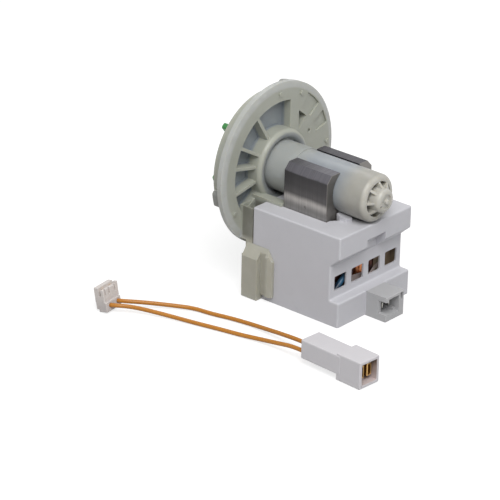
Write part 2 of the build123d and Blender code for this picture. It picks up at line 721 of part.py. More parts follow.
def nose_rib(angle):
    """Rib between the nose's ring and its hub, rising towards the hub."""
    inner = HUB_RADIUS - HUB_WALL / 2
    outer = TUBE_RADIUS - NOSE_RING_WALL * 3 / 4
    outline = [
        (inner, NOSE_WALL_END),
        (outer, NOSE_WALL_END),
        (outer, NOSE_RING_END - NOSE_ROUND / 4),
        (inner, HUB_END - HUB_ROUND),
    ]
    face = make_face(Polyline(*[(radius, 0, x) for radius, x in outline], close=True))
    rib = extrude(face, amount=NOSE_RIB / 2, dir=(0, 1, 0), both=True)
    return AXIS_PLANE.location * Rot(0, 0, angle) * rib


def rotor_can():
    body = disc(LIP_RADIUS, LIP_FRONT, WEB_FRONT)
    body = fillet(body.edges().sort_by(Axis.X)[0], LIP_ROUND)
    body += disc(CAN_SLEEVE_RADIUS, LIP_FRONT, CORE_FRONT - SLEEVE_GAP)
    tube = disc(TUBE_RADIUS, CORE_FRONT - OVERRUN, NOSE_RING_END)
    body += fillet(tube.edges().sort_by(Axis.X)[-1], NOSE_ROUND)
    ring_bore = TUBE_RADIUS - NOSE_RING_WALL
    body -= ring(ring_bore, HUB_RADIUS, NOSE_WALL_END, NOSE_RING_END + OVERRUN)
    hub = disc(HUB_RADIUS, NOSE_BUSH_FACE, HUB_END)
    body += fillet(hub.edges().sort_by(Axis.X)[-1], HUB_ROUND)
    for number in range(NOSE_RIB_COUNT):
        body += nose_rib(number * 360 / NOSE_RIB_COUNT)
    dish = HUB_RADIUS - HUB_ROUND - DISH_RIM
    body -= disc(dish, HUB_END - DISH_DEPTH, HUB_END + OVERRUN)
    pip = disc(PIP_RADIUS, HUB_END - HUB_CAP / 2, HUB_END + PIP_RISE)
    body += fillet(pip.edges().sort_by(Axis.X)[-1], PIP_ROUND)
    body -= disc(CAN_BORE, LIP_FRONT - OVERRUN, NOSE_BUSH_FACE)
    body -= disc(HUB_BORE, LIP_FRONT - OVERRUN, HUB_END - HUB_CAP)
    body -= peg(VENT_RADIUS, VENT_OFFSET, VENT_ANGLE, HUB_END - HUB_CAP - OVERRUN, HUB_END + OVERRUN)
    return body


def can_seal():
    x = WEB_FRONT + CAN_SEAL_SECTION / 2
    return axial_torus(COLLAR_RADIUS - COLLAR_ROUND, CAN_SEAL_SECTION / 2, x)


def front_cover():
    cover = disc(CAN_BORE - SEAT, LIP_FRONT, COVER_BACK)
    cover += disc(COVER_HUB, LIP_FRONT, COVER_HUB_END)
    cover -= disc(HUB_BORE, LIP_FRONT - OVERRUN, LIP_FRONT + SEAL_THICK)
    cover -= disc(SHOULDER_RADIUS, LIP_FRONT, HOLDER_FRONT + OVERRUN)
    return cover - disc(HUB_BORE, HOLDER_FRONT, COVER_HUB_END + OVERRUN)


def shaft_seal():
    body = ring(HUB_BORE - SEAT, SHAFT_RADIUS + RUNNING, LIP_FRONT, LIP_FRONT + SEAL_THICK - SEAT)
    gap = ring(SHOULDER_RADIUS - SEAT, SHAFT_RADIUS + SHOULDER_THICK, LIP_FRONT - OVERRUN,
               LIP_FRONT + SEAL_THICK / 2)
    return body - gap


def bush_holder(x0, x1):
    return ring(HUB_BORE - SEAT, BUSH_RADIUS + SEAT, x0, x1)


def front_bush_holder():
    body = bush_holder(HOLDER_FRONT + SEAT, FRONT_BUSH_FACE)
    lip = ring(HUB_BORE - SEAT, SHAFT_RADIUS + RUNNING + HOLDER_OVER / 2,
               HOLDER_FRONT + SEAT, HOLDER_FRONT + HOLDER_OVER - SEAT)
    return body + lip


def nose_bush_holder():
    end = NOSE_BUSH_FACE + NOSE_BUSH
    body = bush_holder(NOSE_BUSH_FACE, end + HOLDER_OVER)
    lip = ring(HUB_BORE - SEAT, SHAFT_RADIUS + RUNNING + HOLDER_OVER / 2,
               end + SEAT, end + HOLDER_OVER)
    return body + lip


def bush(x0, length):
    return ring(BUSH_RADIUS, SHAFT_RADIUS + RUNNING, x0, x0 + length)


def shaft():
    body = disc(SHAFT_RADIUS, SHAFT_FRONT, SHAFT_NOSE)
    return chamfer(body.edges().filter_by(GeomType.CIRCLE), SHAFT_RADIUS / 5)


def rotor_magnet():
    return ring(CAN_BORE - MAGNET_GAP, CARRIER_RADIUS, MAGNET_FRONT, MAGNET_NOSE)


def magnet_carrier():
    neck_end = FRONT_BUSH_FACE + WASHER_THICK + 2 * END_PLAY
    body = disc(CARRIER_RADIUS, MAGNET_FRONT - CARRIER_FRONT, CARRIER_END)
    body += disc(NECK_RADIUS, neck_end, CARRIER_END)
    return body - disc(SHAFT_RADIUS, neck_end - OVERRUN, CARRIER_END + OVERRUN)


def thrust_washers():
    bore = SHAFT_RADIUS + RUNNING
    return [
        ring(WASHER_RADIUS, bore, FRONT_BUSH_FACE + END_PLAY,
             FRONT_BUSH_FACE + END_PLAY + WASHER_THICK),
        ring(WASHER_RADIUS, bore, CARRIER_END + END_PLAY, CARRIER_END + END_PLAY + WASHER_THICK),
    ]


def clutch_driver():
    x0 = (CLUTCH_FRONT + COVER_FACE - DRIVER_LENGTH) / 2
    x1 = x0 + DRIVER_LENGTH
    half = CLUTCH_SPAN / 2
    vane = disc(DRIVER_REACH, x0, x1)
    vane &= wedge(DRIVER_ANGLE - half, DRIVER_ANGLE + half, IMPELLER_HUB, x0, x1)
    return disc(DRIVER_HUB, x0, x1) + vane - disc(SHAFT_RADIUS, x0 - OVERRUN, x1 + OVERRUN)


def blade(angle):
    """Radial blade with a rounded tip."""
    body = spoke(angle, BLADE, CLUTCH_RADIUS, IMPELLER_RADIUS, IMPELLER_FRONT, IMPELLER_BACK)
    outward = Vector(0, cos(radians(angle)), sin(radians(angle)))
    tip = body.faces().sort_by(lambda face: face.center().dot(outward))[-1]
    return fillet(tip.edges().filter_by(Axis.X), BLADE_ROUND)


def impeller():
    wheel = disc(IMPELLER_HUB, IMPELLER_FRONT, IMPELLER_BACK)
    wheel = fillet(wheel.edges().sort_by(Axis.X)[0], IMPELLER_ROUND)
    wheel += disc(BACKPLATE_RADIUS, IMPELLER_BACK - BACKPLATE, IMPELLER_BACK)
    for number in range(BLADE_COUNT):
        wheel += blade(BLADE_START + number * 360 / BLADE_COUNT)
    wheel -= disc(CLUTCH_RADIUS, CLUTCH_FRONT, IMPELLER_BACK + OVERRUN)
    half = CLUTCH_SPAN / 2
    stop = ring(CLUTCH_RADIUS + SEAT, DRIVER_HUB + STOP_CLEAR, CLUTCH_FRONT - SEAT, COVER_FACE)
    opposite = DRIVER_ANGLE + 180
    wheel += stop & wedge(opposite - half, opposite + half, IMPELLER_HUB, CLUTCH_FRONT - SEAT,
                          COVER_FACE)
    return wheel - disc(SHAFT_RADIUS + RUNNING, SHAFT_FRONT - END_PLAY, CLUTCH_FRONT)


def clutch_cover():
    return ring(CLUTCH_RADIUS - SEAT, SHAFT_RADIUS + RUNNING, COVER_FACE, IMPELLER_BACK)


def flange_disc():
    """Rim with its bevelled back, web and spigot, turned about the axis."""
    bevel_radius = RIM_RADIUS - BEVEL
    outline = [
        (BACK_PLANE, 0),
        (BACK_PLANE, bevel_radius),
        (BACK_PLANE - SHOULDER, RIM_RADIUS),
        (SEALING_FACE, RIM_RADIUS),
        (SEALING_FACE, SPIGOT_RADIUS),
        (SPIGOT_END, SPIGOT_RADIUS),
        (SPIGOT_END, SPIGOT_RADIUS - SPIGOT_WALL),
        (WEB_FRONT, SPIGOT_RADIUS - SPIGOT_WALL),
        (WEB_FRONT, 0),
    ]
    points = [(x, 0, AXIS_HEIGHT + radius) for x, radius in outline]
    face = make_face(Polyline(*points, close=True))
    body = revolve(face, axis=Axis((0, 0, AXIS_HEIGHT), (1, 0, 0)), revolution_arc=360)
    groove_back = SEALING_FACE - SEAL_LAND
    return body - ring(
        SPIGOT_RADIUS + OVERRUN, SPIGOT_RADIUS - SEAL_DEPTH, groove_back - SEAL_GROOVE, groove_back
    )


def flange_rib(angle):
    """Rib across a pocket, rising towards the collar."""
    inner = COLLAR_RADIUS - COLLAR_ROUND
    outer = POCKET_RADIUS + RIB / 2
    rib = spoke(angle, RIB, inner, outer, POCKET_FLOOR - WEB / 2, BACK_PLANE + RIB_RISE)
    along = Vector(0, cos(radians(angle)), sin(radians(angle)))
    outer_point = Vector(BACK_PLANE, 0, AXIS_HEIGHT) + along * POCKET_RADIUS
    inner_point = Vector(BACK_PLANE + RIB_RISE, 0, AXIS_HEIGHT) + along * inner
    slope = (outer_point - inner_point).normalized()
    across = Vector(0, -along.Z, along.Y)
    cut = Plane(origin=outer_point, x_dir=slope, z_dir=across.cross(slope))
    return split(rib, bisect_by=cut, keep=Keep.BOTTOM if cut.z_dir.X > 0 else Keep.TOP)


def flange_pockets(body):
    """Ring of pockets between the collar and the rim, with its ribs and solid plateau."""
    above = BACK_PLANE + OVERRUN
    pockets = ring(POCKET_RADIUS, COLLAR_RADIUS, POCKET_FLOOR, above)
    pockets -= wedge(PLATEAU_FROM, PLATEAU_TO, POCKET_RADIUS + RIB, POCKET_FLOOR, above)
    plateau_radius = POCKET_RADIUS - PLATEAU_STEP
    corner = ring(plateau_radius, COLLAR_RADIUS, POCKET_FLOOR, above)
    pockets += corner & wedge(CORNER_FROM, PLATEAU_TO, POCKET_RADIUS, POCKET_FLOOR, above)
    pockets -= span(
        POCKET_FLOOR, above, BAND_NEAR, BAND_NEAR + BAND_WIDTH,
        AXIS_HEIGHT, AXIS_HEIGHT + POCKET_RADIUS,
    )
    body -= pockets
    shallow_floor = BACK_PLANE - SHALLOW_DEPTH
    shallow_radius = RIM_RADIUS - BEVEL - SHALLOW_EDGE
    shallow = ring(shallow_radius, POCKET_RADIUS - SHALLOW_STEP, shallow_floor, above)
    for start, width in zip(SHALLOW_STARTS, SHALLOW_SPANS):
        body -= shallow & wedge(start, start + width, shallow_radius, shallow_floor, above)
    pit_circle = (COLLAR_RADIUS + 2 * plateau_radius) / 3
    body -= peg(PIT_RADIUS, pit_circle, PIT_ANGLE, shallow_floor, above)
    for angle in RIB_ANGLES:
        body += flange_rib(angle)
    body += disc(COLLAR_RADIUS, POCKET_FLOOR, CREST)
    body += axial_torus(COLLAR_RADIUS - COLLAR_ROUND, COLLAR_ROUND, CREST)
    body -= disc(COLLAR_RADIUS - 2 * COLLAR_ROUND, CREST, BACK_PLANE + COLLAR_RISE)
    for angle in BOSS_ANGLES:
        body += peg(BOSS_RADIUS, BOSS_CIRCLE, angle, BACK_PLANE - SHOULDER, BACK_PLANE + BOSS_RISE)
    return body


def bayonet_lug(angle):
    """Rounded lug before the rim that turns into the volute."""
    half = LUG_SPAN / 2
    front = SEALING_FACE - LUG_REACH
    back = SEALING_FACE + SHOULDER
    lug = ring(LUG_RADIUS, LUG_RADIUS - LUG_THICK, front, back)
    lug &= wedge(angle - half, angle + half, LUG_RADIUS, front, back)
    outward = Vector(0, cos(radians(angle)), sin(radians(angle)))
    corners = lug.edges().filter_by(Axis.X).sort_by(lambda edge: edge.center().dot(outward))
    return fillet(corners[-2:], LUG_ROUND)


def bracket():
    """Box between the flange and the housing, with an open well at each side."""
    x0 = BACK_PLANE - SHOULDER
    x1 = FRONT_FACE - BRACKET_GAP
    top = HOUSING_TOP - BRACKET_TOP_GAP
    body = span(x0, x1, -HALF_WIDTH, HALF_WIDTH, BRACKET_BOTTOM, top)
    well = HALF_WIDTH - BRACKET_SIDE
    for side in (-1, 1):
        y0, y1 = sided(side, well - BRACKET_WELL, well)
        body -= span(
            BACK_PLANE, x1 + OVERRUN, y0, y1, BRACKET_BOTTOM + BRACKET_WALL, top + OVERRUN
        )
    core = well - BRACKET_WELL - BRACKET_WALL
    body -= span(
        BACK_PLANE, x1 - BRACKET_WALL, -core, core, BRACKET_BOTTOM - OVERRUN, top - BRACKET_WALL
    )
    return body


def tongue(side):
    """Hold-down tongue that lies on the housing's top beside the sleeve."""
    x1 = CORE_FRONT - TONGUE_END_GAP
    under = HOUSING_TOP + SEAT
    y0, y1 = sided(side, TONGUE_NEAR, TONGUE_FAR)
    body = span(BACK_PLANE - SHOULDER, x1, y0, y1, under, under + TONGUE_THICK)
    root = FRONT_FACE - BRACKET_GAP
    foot = HOUSING_TOP - BRACKET_TOP_GAP - BRACKET_WALL
    return body + span(BACK_PLANE - SHOULDER, root, y0, y1, foot, under + TONGUE_THICK)


def clip_arm(side):
    """Arm that hangs from the bracket and grips the housing's side with a ridged leaf."""
    near = HALF_WIDTH + LOOSE
    far = near + ARM_THICK
    floor = near + ARM_FLOOR
    ridge = near + ARM_RIDGE
    front = FRONT_FACE - ARM_FRONT
    face_end = front + ARM_FACE
    leaf_start = face_end + ARM_GROOVE
    leaf_end = leaf_start + ARM_LEAF
    section = [(near, ARM_BOTTOM), (far, ARM_BOTTOM), (far, ARM_SHOULDER), (near, ARM_TOP)]
    plan = [
        (front, near), (front, far), (face_end, far), (face_end, floor), (leaf_start, floor),
        (leaf_start, ridge), (leaf_start + ARM_LEAF / 3, ridge), (leaf_end, floor), (leaf_end, near),
    ]
    outline = [
        (front, ARM_BOTTOM), (face_end, ARM_BOTTOM), (face_end, ARM_LEAF_BOTTOM),
        (leaf_end, ARM_LEAF_BOTTOM), (leaf_end, ARM_SHOULDER), (leaf_start, ARM_TOP),
        (front, ARM_TOP),
    ]
    arm = prism_x([(side * y, z) for y, z in section], front, leaf_end)
    arm &= prism_z([(x, side * y) for x, y in plan], ARM_BOTTOM, ARM_TOP)
    arm &= prism_y(outline, *sided(side, near, far))
    root_front = FRONT_FACE - ARM_ROOT
    root_back = FRONT_FACE - BRACKET_GAP
    inner = HALF_WIDTH - ARM_ROOT_WIDTH
    low = ARM_BOTTOM + ARM_LEAF_BOTTOM
    arm += span(root_front, root_back, *sided(side, inner, far - ARM_THICK / 3), low, ARM_SHOULDER)
    top = BRACKET_BOTTOM + BRACKET_WALL
    return arm + span(root_front, root_back, *sided(side, inner, near), ARM_SHOULDER, top)


def flange_plate():
    body = flange_pockets(flange_disc())
    body += bracket()
    for side in (-1, 1):
        body += tongue(side)
        body += clip_arm(side)
    for angle in LUG_ANGLES:
        body += bayonet_lug(angle)
    x1 = CORE_FRONT - SLEEVE_GAP + OVERRUN
    body -= disc(CAN_SLEEVE_RADIUS + SEAT, WEB_FRONT - OVERRUN, x1)
    seal = COLLAR_RADIUS - COLLAR_ROUND
    half = CAN_SEAL_SECTION / 2 + CAN_SEAL_SIDE
    floor = WEB_FRONT + CAN_SEAL_SECTION + SEAT
    return body - ring(seal + half, seal - half, WEB_FRONT - OVERRUN, floor)


def volute_seal():
    middle = SEALING_FACE - SEAL_LAND - SEAL_GROOVE / 2
    major = SPIGOT_RADIUS - SEAL_DEPTH + SEAL_SECTION / 2 + SEAT
    return axial_torus(major, SEAL_SECTION / 2, middle)


def adapter_frame():
    return Pos(ADAPTER_X, ADAPTER_Y, 0) * Rot(0, 0, ADAPTER_YAW)


def along_x(radius, x0, x1, y, z):
    return Pos((x0 + x1) / 2, y, z) * Rot(0, 90, 0) * Cylinder(radius, x1 - x0)


def adapter_blade(y, grow):
    """Flat tail of a contact, from its wire to its clip."""
    tail = -BODY_LENGTH + ENTRY_DEPTH + BLADE_BASE_GAP
    clip = MOUTH_LENGTH - CLIP_TIP_GAP - CLIP_LENGTH
    level = (MOUTH_HEIGHT - BLADE_HEIGHT) / 2
    return span(
        tail - grow, clip + CLIP_WALL, y - BLADE_THICK / 2 - grow,
        y + BLADE_THICK / 2 + grow, level - grow, level + BLADE_HEIGHT + grow,
    )


def adapter_clip(y):
    """Upright clip of a contact, open towards the mouth's rim."""
    tip = MOUTH_LENGTH - CLIP_TIP_GAP
    half = CLIP_WIDTH / 2
    middle = y + CLIP_SHIFT
    low = (MOUTH_HEIGHT - CLIP_HEIGHT) / 2
    clip = span(tip - CLIP_LENGTH, tip, middle - half, middle + half, low, low + CLIP_HEIGHT)
    clip = chamfer(clip.faces().sort_by(Axis.X)[-1].edges(), CLIP_WALL / 2)
    room = half - CLIP_WALL
    return clip - span(
        tip - CLIP_LENGTH + 2 * CLIP_WALL, tip + OVERRUN, middle - room, middle + room,
        low + CLIP_WALL, low + CLIP_HEIGHT - CLIP_WALL,
    )


def blade_sides():
    middle = (ENTRY_UPPER_Y + ENTRY_LOWER_Y) / 2
    half = TAB_PITCH / 2
    return (middle + half, middle - half)


def adapter_housing():
    mouth = span(0, MOUTH_LENGTH, -MOUTH_HALF, MOUTH_HALF, 0, MOUTH_HEIGHT)
    mouth = fillet(mouth.edges(), ADAPTER_ROUND)
    rear = span(-BODY_LENGTH, MOUTH_BACK, BODY_LOW_Y, BODY_HIGH_Y, BODY_LOW, BODY_HIGH)
    rear_edges = rear.faces().sort_by(Axis.X)[0].edges() + rear.edges().filter_by(Axis.X)
    body = mouth + fillet(rear_edges, ADAPTER_ROUND)
    inside = MOUTH_HALF - MOUTH_WALL
    body -= span(MOUTH_BACK, MOUTH_LENGTH + OVERRUN, -inside, inside, MOUTH_WALL,
                 MOUTH_HEIGHT - MOUTH_WALL)
    entry_end = -BODY_LENGTH + ENTRY_DEPTH + BLADE_BASE_GAP
    for y in (ENTRY_UPPER_Y, ENTRY_LOWER_Y):
        body -= along_x(WIRE_RADIUS + ENTRY_GAP, -BODY_LENGTH - OVERRUN, entry_end, y, ENTRY_LEVEL)
    for y in blade_sides():
        body -= adapter_blade(y, SEAT)
    return adapter_frame() * body


def adapter_contacts():
    return [adapter_frame() * (adapter_blade(y, 0) + adapter_clip(y)) for y in blade_sides()]


def plug_frame():
    return Pos(PLUG_X, PLUG_Y, 0) * Rot(0, 0, PLUG_YAW) * Rot(0, -PLUG_LEAN, 0)


def plug_sides():
    return (PLUG_ENTRY_SHIFT - PLUG_ENTRY_HALF, PLUG_ENTRY_SHIFT + PLUG_ENTRY_HALF)


def plug_contact(y, grow):
    x1 = PLUG_FRONT - PLUG_ENTRY_DEPTH - CONTACT_GAP
    return span(
        x1 - CONTACT_THICK - grow, x1 + grow, y - CONTACT_WIDTH / 2 - grow,
        y + CONTACT_WIDTH / 2 + grow, CONTACT_LOW - grow, CONTACT_LOW + CONTACT_HEIGHT + grow,
    )


def plug_shell():
    """Foot, base and stepped upper part of the small plug."""
    half = PLUG_WIDTH / 2
    face = PLUG_FRONT - PLUG_SETBACK
    top = PLUG_HEIGHT - PLUG_RIDGE
    base = span(-PLUG_STEP, PLUG_FRONT, -half, half, PLUG_FOOT, PLUG_BASE)
    foot = span(0, PLUG_FRONT, -half, half, 0, PLUG_BASE)
    body = fillet(base.edges(), PLUG_ROUND) + fillet(foot.edges(), PLUG_ROUND)
    upper = span(-PLUG_STEP, face, -half, half, PLUG_BASE / 2, top)
    body += fillet(upper.edges().filter_by(lambda edge: edge.center().Z > PLUG_BASE), PLUG_ROUND)
    ridge = span(-PLUG_STEP, PLUG_SLOT_AT, -half, half, PLUG_BASE, PLUG_HEIGHT)
    hump_low = PLUG_SLOT_AT + PLUG_SLOT_WIDTH
    hump = span(hump_low, face, half - PLUG_HUMP, half, PLUG_BASE, PLUG_HEIGHT)
    for block in (ridge, hump):
        body += fillet(block.faces().sort_by(Axis.Z)[-1].edges(), PLUG_ROUND)
    return body


def plug_housing():
    half = PLUG_WIDTH / 2
    face = PLUG_FRONT - PLUG_SETBACK
    above = PLUG_HEIGHT + OVERRUN
    slot_end = PLUG_SLOT_AT + PLUG_SLOT_WIDTH
    body = plug_shell()
    body -= span(PLUG_SLOT_AT, slot_end, -half - OVERRUN, half + OVERRUN,
                 PLUG_HEIGHT - PLUG_RIDGE - PLUG_CHANNEL, above)
    body -= span(PLUG_SLOT_AT, slot_end, -half - OVERRUN, -half + PLUG_SLOT_DEPTH,
                 PLUG_SLOT_LOW, above)
    for y in PLUG_GROOVES:
        body -= span(face - PLUG_GROOVE_DEPTH, face + OVERRUN, y - PLUG_GROOVE / 2,
                     y + PLUG_GROOVE / 2, PLUG_GROOVE_LOW, above)
    entry_end = PLUG_FRONT - PLUG_ENTRY_DEPTH - CONTACT_GAP
    for y in plug_sides():
        body -= along_x(WIRE_RADIUS + ENTRY_GAP, entry_end, PLUG_FRONT + OVERRUN, y,
                        PLUG_ENTRY_LEVEL)
        body -= plug_contact(y, SEAT)
    return plug_frame() * body


def plug_contacts():
    return [plug_frame() * plug_contact(y, 0) for y in plug_sides()]


def route_radii(route):
    """Bend radius at each corner: 0.45 of the shorter run over the tangent of half the turn."""
    points = [Vector(*point) for point in route]
    radii = []
    for before, corner, after in zip(points, points[1:], points[2:]):
        turn = (corner - before).get_angle(after - corner)
        shorter = min((corner - before).length, (after - corner).length)
        radii.append(0.45 * shorter / tan(radians(turn) / 2))
    return radii


def wire(name, route):
    radii = route_radii(route)
    path = FilletPolyline(*route, radius=radii)
    section = Plane(origin=path @ 0, z_dir=path % 0) * Circle(WIRE_RADIUS)
    tube = sweep(section, path=path)
    expected = pi * WIRE_RADIUS ** 2 * path.length
    print(name, "radii", [round(radius, 1) for radius in radii])
    print(name, "length", round(path.length, 1), "volume share", round(tube.volume / expected, 4))
    return tube


def pieces():
    return {
        "flange_plate": flange_plate(),
        "volute_seal": volute_seal(),
        "rotor_can": rotor_can(),
        "can_seal": can_seal(),
        "front_cover": front_cover(),
        "shaft_seal": shaft_seal(),
        "front_bush": bush(HOLDER_FRONT + HOLDER_OVER, FRONT_BUSH),
        "front_bush_holder": front_bush_holder(),
        "nose_bush": bush(NOSE_BUSH_FACE, NOSE_BUSH),
        "nose_bush_holder": nose_bush_holder(),
        "shaft": shaft(),
        "rotor_magnet": rotor_magnet(),
        "magnet_carrier": magnet_carrier(),
        "thrust_washers": thrust_washers(),
        "clutch_driver": clutch_driver(),
        "impeller": impeller(),
        "clutch_cover": clutch_cover(),
        "stator_core": stator_core(),
        "bobbin_left": bobbin(-1),
        "bobbin_right": bobbin(1),
        "winding_left": winding(-1),
        "winding_right": winding(1),
        "winding_tape": winding_tape(),
        "thermal_fuse": thermal_fuse(),
        "fuse_sleeve": fuse_sleeve(),
        "fuse_leads": fuse_leads(),
        "coil_housing": coil_housing(),
        "base_cover": base_cover(),
        "pump_tabs": pump_tabs(),
        "adapter_housing": adapter_housing(),
        "adapter_contacts": adapter_contacts(),
        "lead_wire_upper": wire("lead_wire_upper", UPPER_ROUTE),
        "lead_wire_lower": wire("lead_wire_lower", LOWER_ROUTE),
        "plug_housing": plug_housing(),
        "plug_contacts": plug_contacts(),
    }


for node, shape in pieces().items():
    solids = shape if isinstance(shape, list) else [shape]
    export_step(Compound(children=[solid for one in solids for solid in one.solids()]),
                f"parts/{node}.step")
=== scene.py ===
"""Looks of a washing machine's drain pump and its adapter lead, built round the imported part.

Places are in metres in the part's own frame: the rotor axis runs along X with the can's nose
towards +X, Z is up, and the pump and its lead stand on z = 0. Colours are linear.
"""
import json
import math

import bmesh
import bpy
from mathutils import Matrix, Vector

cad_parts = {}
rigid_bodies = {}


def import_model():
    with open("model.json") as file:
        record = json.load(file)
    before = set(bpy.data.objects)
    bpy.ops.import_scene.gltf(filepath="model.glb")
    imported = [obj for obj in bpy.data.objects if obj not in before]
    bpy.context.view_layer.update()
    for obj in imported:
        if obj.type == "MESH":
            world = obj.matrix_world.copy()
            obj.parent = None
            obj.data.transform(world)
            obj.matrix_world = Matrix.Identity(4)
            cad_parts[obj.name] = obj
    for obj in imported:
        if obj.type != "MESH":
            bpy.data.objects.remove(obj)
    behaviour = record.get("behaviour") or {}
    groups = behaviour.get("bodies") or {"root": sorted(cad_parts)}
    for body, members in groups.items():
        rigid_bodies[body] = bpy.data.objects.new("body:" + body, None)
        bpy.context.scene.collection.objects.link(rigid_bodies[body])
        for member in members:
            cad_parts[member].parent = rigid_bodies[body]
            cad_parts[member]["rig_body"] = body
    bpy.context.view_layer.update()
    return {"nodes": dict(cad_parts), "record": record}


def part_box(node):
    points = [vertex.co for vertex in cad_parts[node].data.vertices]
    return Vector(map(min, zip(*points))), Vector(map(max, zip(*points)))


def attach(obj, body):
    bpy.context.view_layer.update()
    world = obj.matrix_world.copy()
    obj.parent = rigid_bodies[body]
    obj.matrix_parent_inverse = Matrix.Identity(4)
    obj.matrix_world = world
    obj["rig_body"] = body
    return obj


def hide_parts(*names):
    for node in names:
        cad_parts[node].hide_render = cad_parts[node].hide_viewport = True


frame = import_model()

MM = 0.001

# Camera, from the photograph's perspective
LENS = 212.10
SENSOR = 36.0
CAMERA_PLACE = (0.820966, -1.006131, 0.618725)
AZIMUTH = math.radians(40.6439)
ELEVATION = math.radians(24.7676)
ROLL = math.radians(1.2363)
CLIP_START = 0.05
CLIP_END = 50.0

# Lamps (name, place, target, size and power), floor and world
LAMPS = [
    ("key", (0.60, -0.53, 1.07), (0.0, 0.0, 0.04), 0.9, 13.0),
    ("back", (-0.70, 0.54, 0.86), (0.0, 0.0, 0.05), 0.5, 1.4),
]
FLOOR_REACH = 6.0
FLOOR_DROP = 0.2 * MM
FLOOR_TONE = (0.40, 0.40, 0.40)
FLOOR_GLOW = 0.72
WORLD_LIGHT = 0.36
WORLD_SEEN = 1.0

# The two wires' routes in mm, from the adapter to the plug, and their diameter in metres
WIRE_DIAMETER = 2.1 * MM
UPPER_ROUTE = [
    (50.76, -57.80, 5.40), (40.78, -57.18, 5.40), (28.65, -55.93, 4.30), (15.90, -54.01, 2.30),
    (4.12, -53.42, 1.15), (-7.05, -55.11, 1.05), (-16.82, -57.78, 1.05), (-26.54, -59.15, 1.15),
    (-34.52, -64.63, 1.80), (-41.87, -70.82, 2.70), (-47.43, -75.40, 3.20),
    (-53.65, -81.74, 3.95), (-57.85, -82.29, 3.20),
]
LOWER_ROUTE = [
    (50.34, -64.58, 5.40), (40.36, -63.97, 5.40), (30.16, -63.40, 3.40), (18.90, -63.20, 1.60),
    (8.83, -65.25, 1.10), (-2.86, -67.45, 1.05), (-15.20, -70.40, 1.05), (-26.60, -73.27, 1.40),
    (-35.04, -76.78, 2.30), (-42.00, -79.81, 3.00), (-47.88, -82.61, 3.30),
    (-52.87, -87.68, 3.95), (-57.07, -88.24, 3.20),
]

# Steps between the places below, which the record doesn't give
SEAL_TO_BACK = 3.45 * MM     # sealing face to the flange's back plane
WEDGE_RISE = 2.4 * MM        # snap wedges above the housing's top
CHAMFER_DROP = 3.2 * MM      # core's top to the lower edge of its chamfer
NOSE_WALL = 3.0 * MM         # nose bush's inner end to the outside of the can's end wall
TAPE_RISE = 0.35 * MM        # winding's face to the tape's

# Places that the materials and pieces share, from the frame
MOUNTS = {mount["name"]: mount for mount in frame["record"]["mounts"]}
MOUTH = MOUNTS["adapter_socket"]
AXIS_HEIGHT = MOUNTS["spigot"]["pos_m"][2]
BACK_PLANE = MOUNTS["sealing_face"]["pos_m"][0] + SEAL_TO_BACK
HOUSING_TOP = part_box("coil_housing")[1].z - WEDGE_RISE
HOUSING_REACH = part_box("coil_housing")[1].x
CORE_LOW, CORE_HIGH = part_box("stator_core")
CHAMFER_LOW = CORE_HIGH.z - CHAMFER_DROP
NOSE_WALL_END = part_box("nose_bush")[0].x + NOSE_WALL
WINDING_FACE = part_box("winding_right")[1].x
TAPE_FACE = WINDING_FACE + TAPE_RISE
SOCKET_MIDDLE = MOUNTS["pump_socket"]["pos_m"][1]

# Bands over which a tone changes, each with its low and high end. Flange: radii, places along X
# and heights
RIM_RADII = (37.4 * MM, 38.6 * MM)
LUG_RADII = (38.0 * MM, 39.0 * MM)
LUG_BACK = (BACK_PLANE - 4.6 * MM, BACK_PLANE - 3.6 * MM)
BRACKET_FRONT = (BACK_PLANE + 0.3 * MM, BACK_PLANE + 1.5 * MM)
BRACKET_TOP = (HOUSING_TOP - 2 * MM, HOUSING_TOP)
BOX_FOOT = (28 * MM, 31 * MM)
POCKET_FLOORS = (BACK_PLANE - 7.2 * MM, BACK_PLANE - 4.6 * MM)
POCKET_RADII = (18.0 * MM, 32.3 * MM)
COLLAR_RADII = (15.6 * MM, 17.2 * MM)

# Can: places along X, heights and radii
TUBE_START = (CORE_LOW.x - 1 * MM, CORE_LOW.x + 9 * MM)
NOSE_START = (NOSE_WALL_END - 10 * MM, NOSE_WALL_END + 2 * MM)
NOSE_FACE = (NOSE_WALL_END + 7 * MM, NOSE_WALL_END + 9 * MM)
UNDERSIDE = (AXIS_HEIGHT - 11 * MM, AXIS_HEIGHT + 2 * MM)
RECESS_RADII = (4.9 * MM, 8.6 * MM)
RECESS_MOUTH = (NOSE_WALL_END - 0.4 * MM, NOSE_WALL_END + 6.6 * MM)

# Housing: its shroud, and the tape that is painted on a side wall
SHROUD_START = (HOUSING_REACH - 12.6 * MM, HOUSING_REACH - 11.9 * MM)
SHROUD_LEFT = (SOCKET_MIDDLE - 6.6 * MM, SOCKET_MIDDLE - 5.9 * MM)
TAPE_ALONG = (WINDING_FACE - 1 * MM, WINDING_FACE + 5 * MM)
TAPE_ACROSS = (24.6 * MM, 26.0 * MM)
TAPE_HEIGHTS = (11 * MM, 23 * MM)

# Plug's foot, and the adapter's mouth from its middle: depths, heights and half widths
FOOT_HEIGHTS = (3 * MM, 10 * MM)
MOUTH_DEPTHS = (-12.9 * MM, -0.5 * MM)
MOUTH_SHADE = (-11.5 * MM, -3.0 * MM)
MOUTH_HEIGHTS = (-5.3 * MM, 5.3 * MM)
MOUTH_SIDES = (5.15 * MM, 5.3 * MM)
MOUTH_TOP = (5.4 * MM, 5.55 * MM)

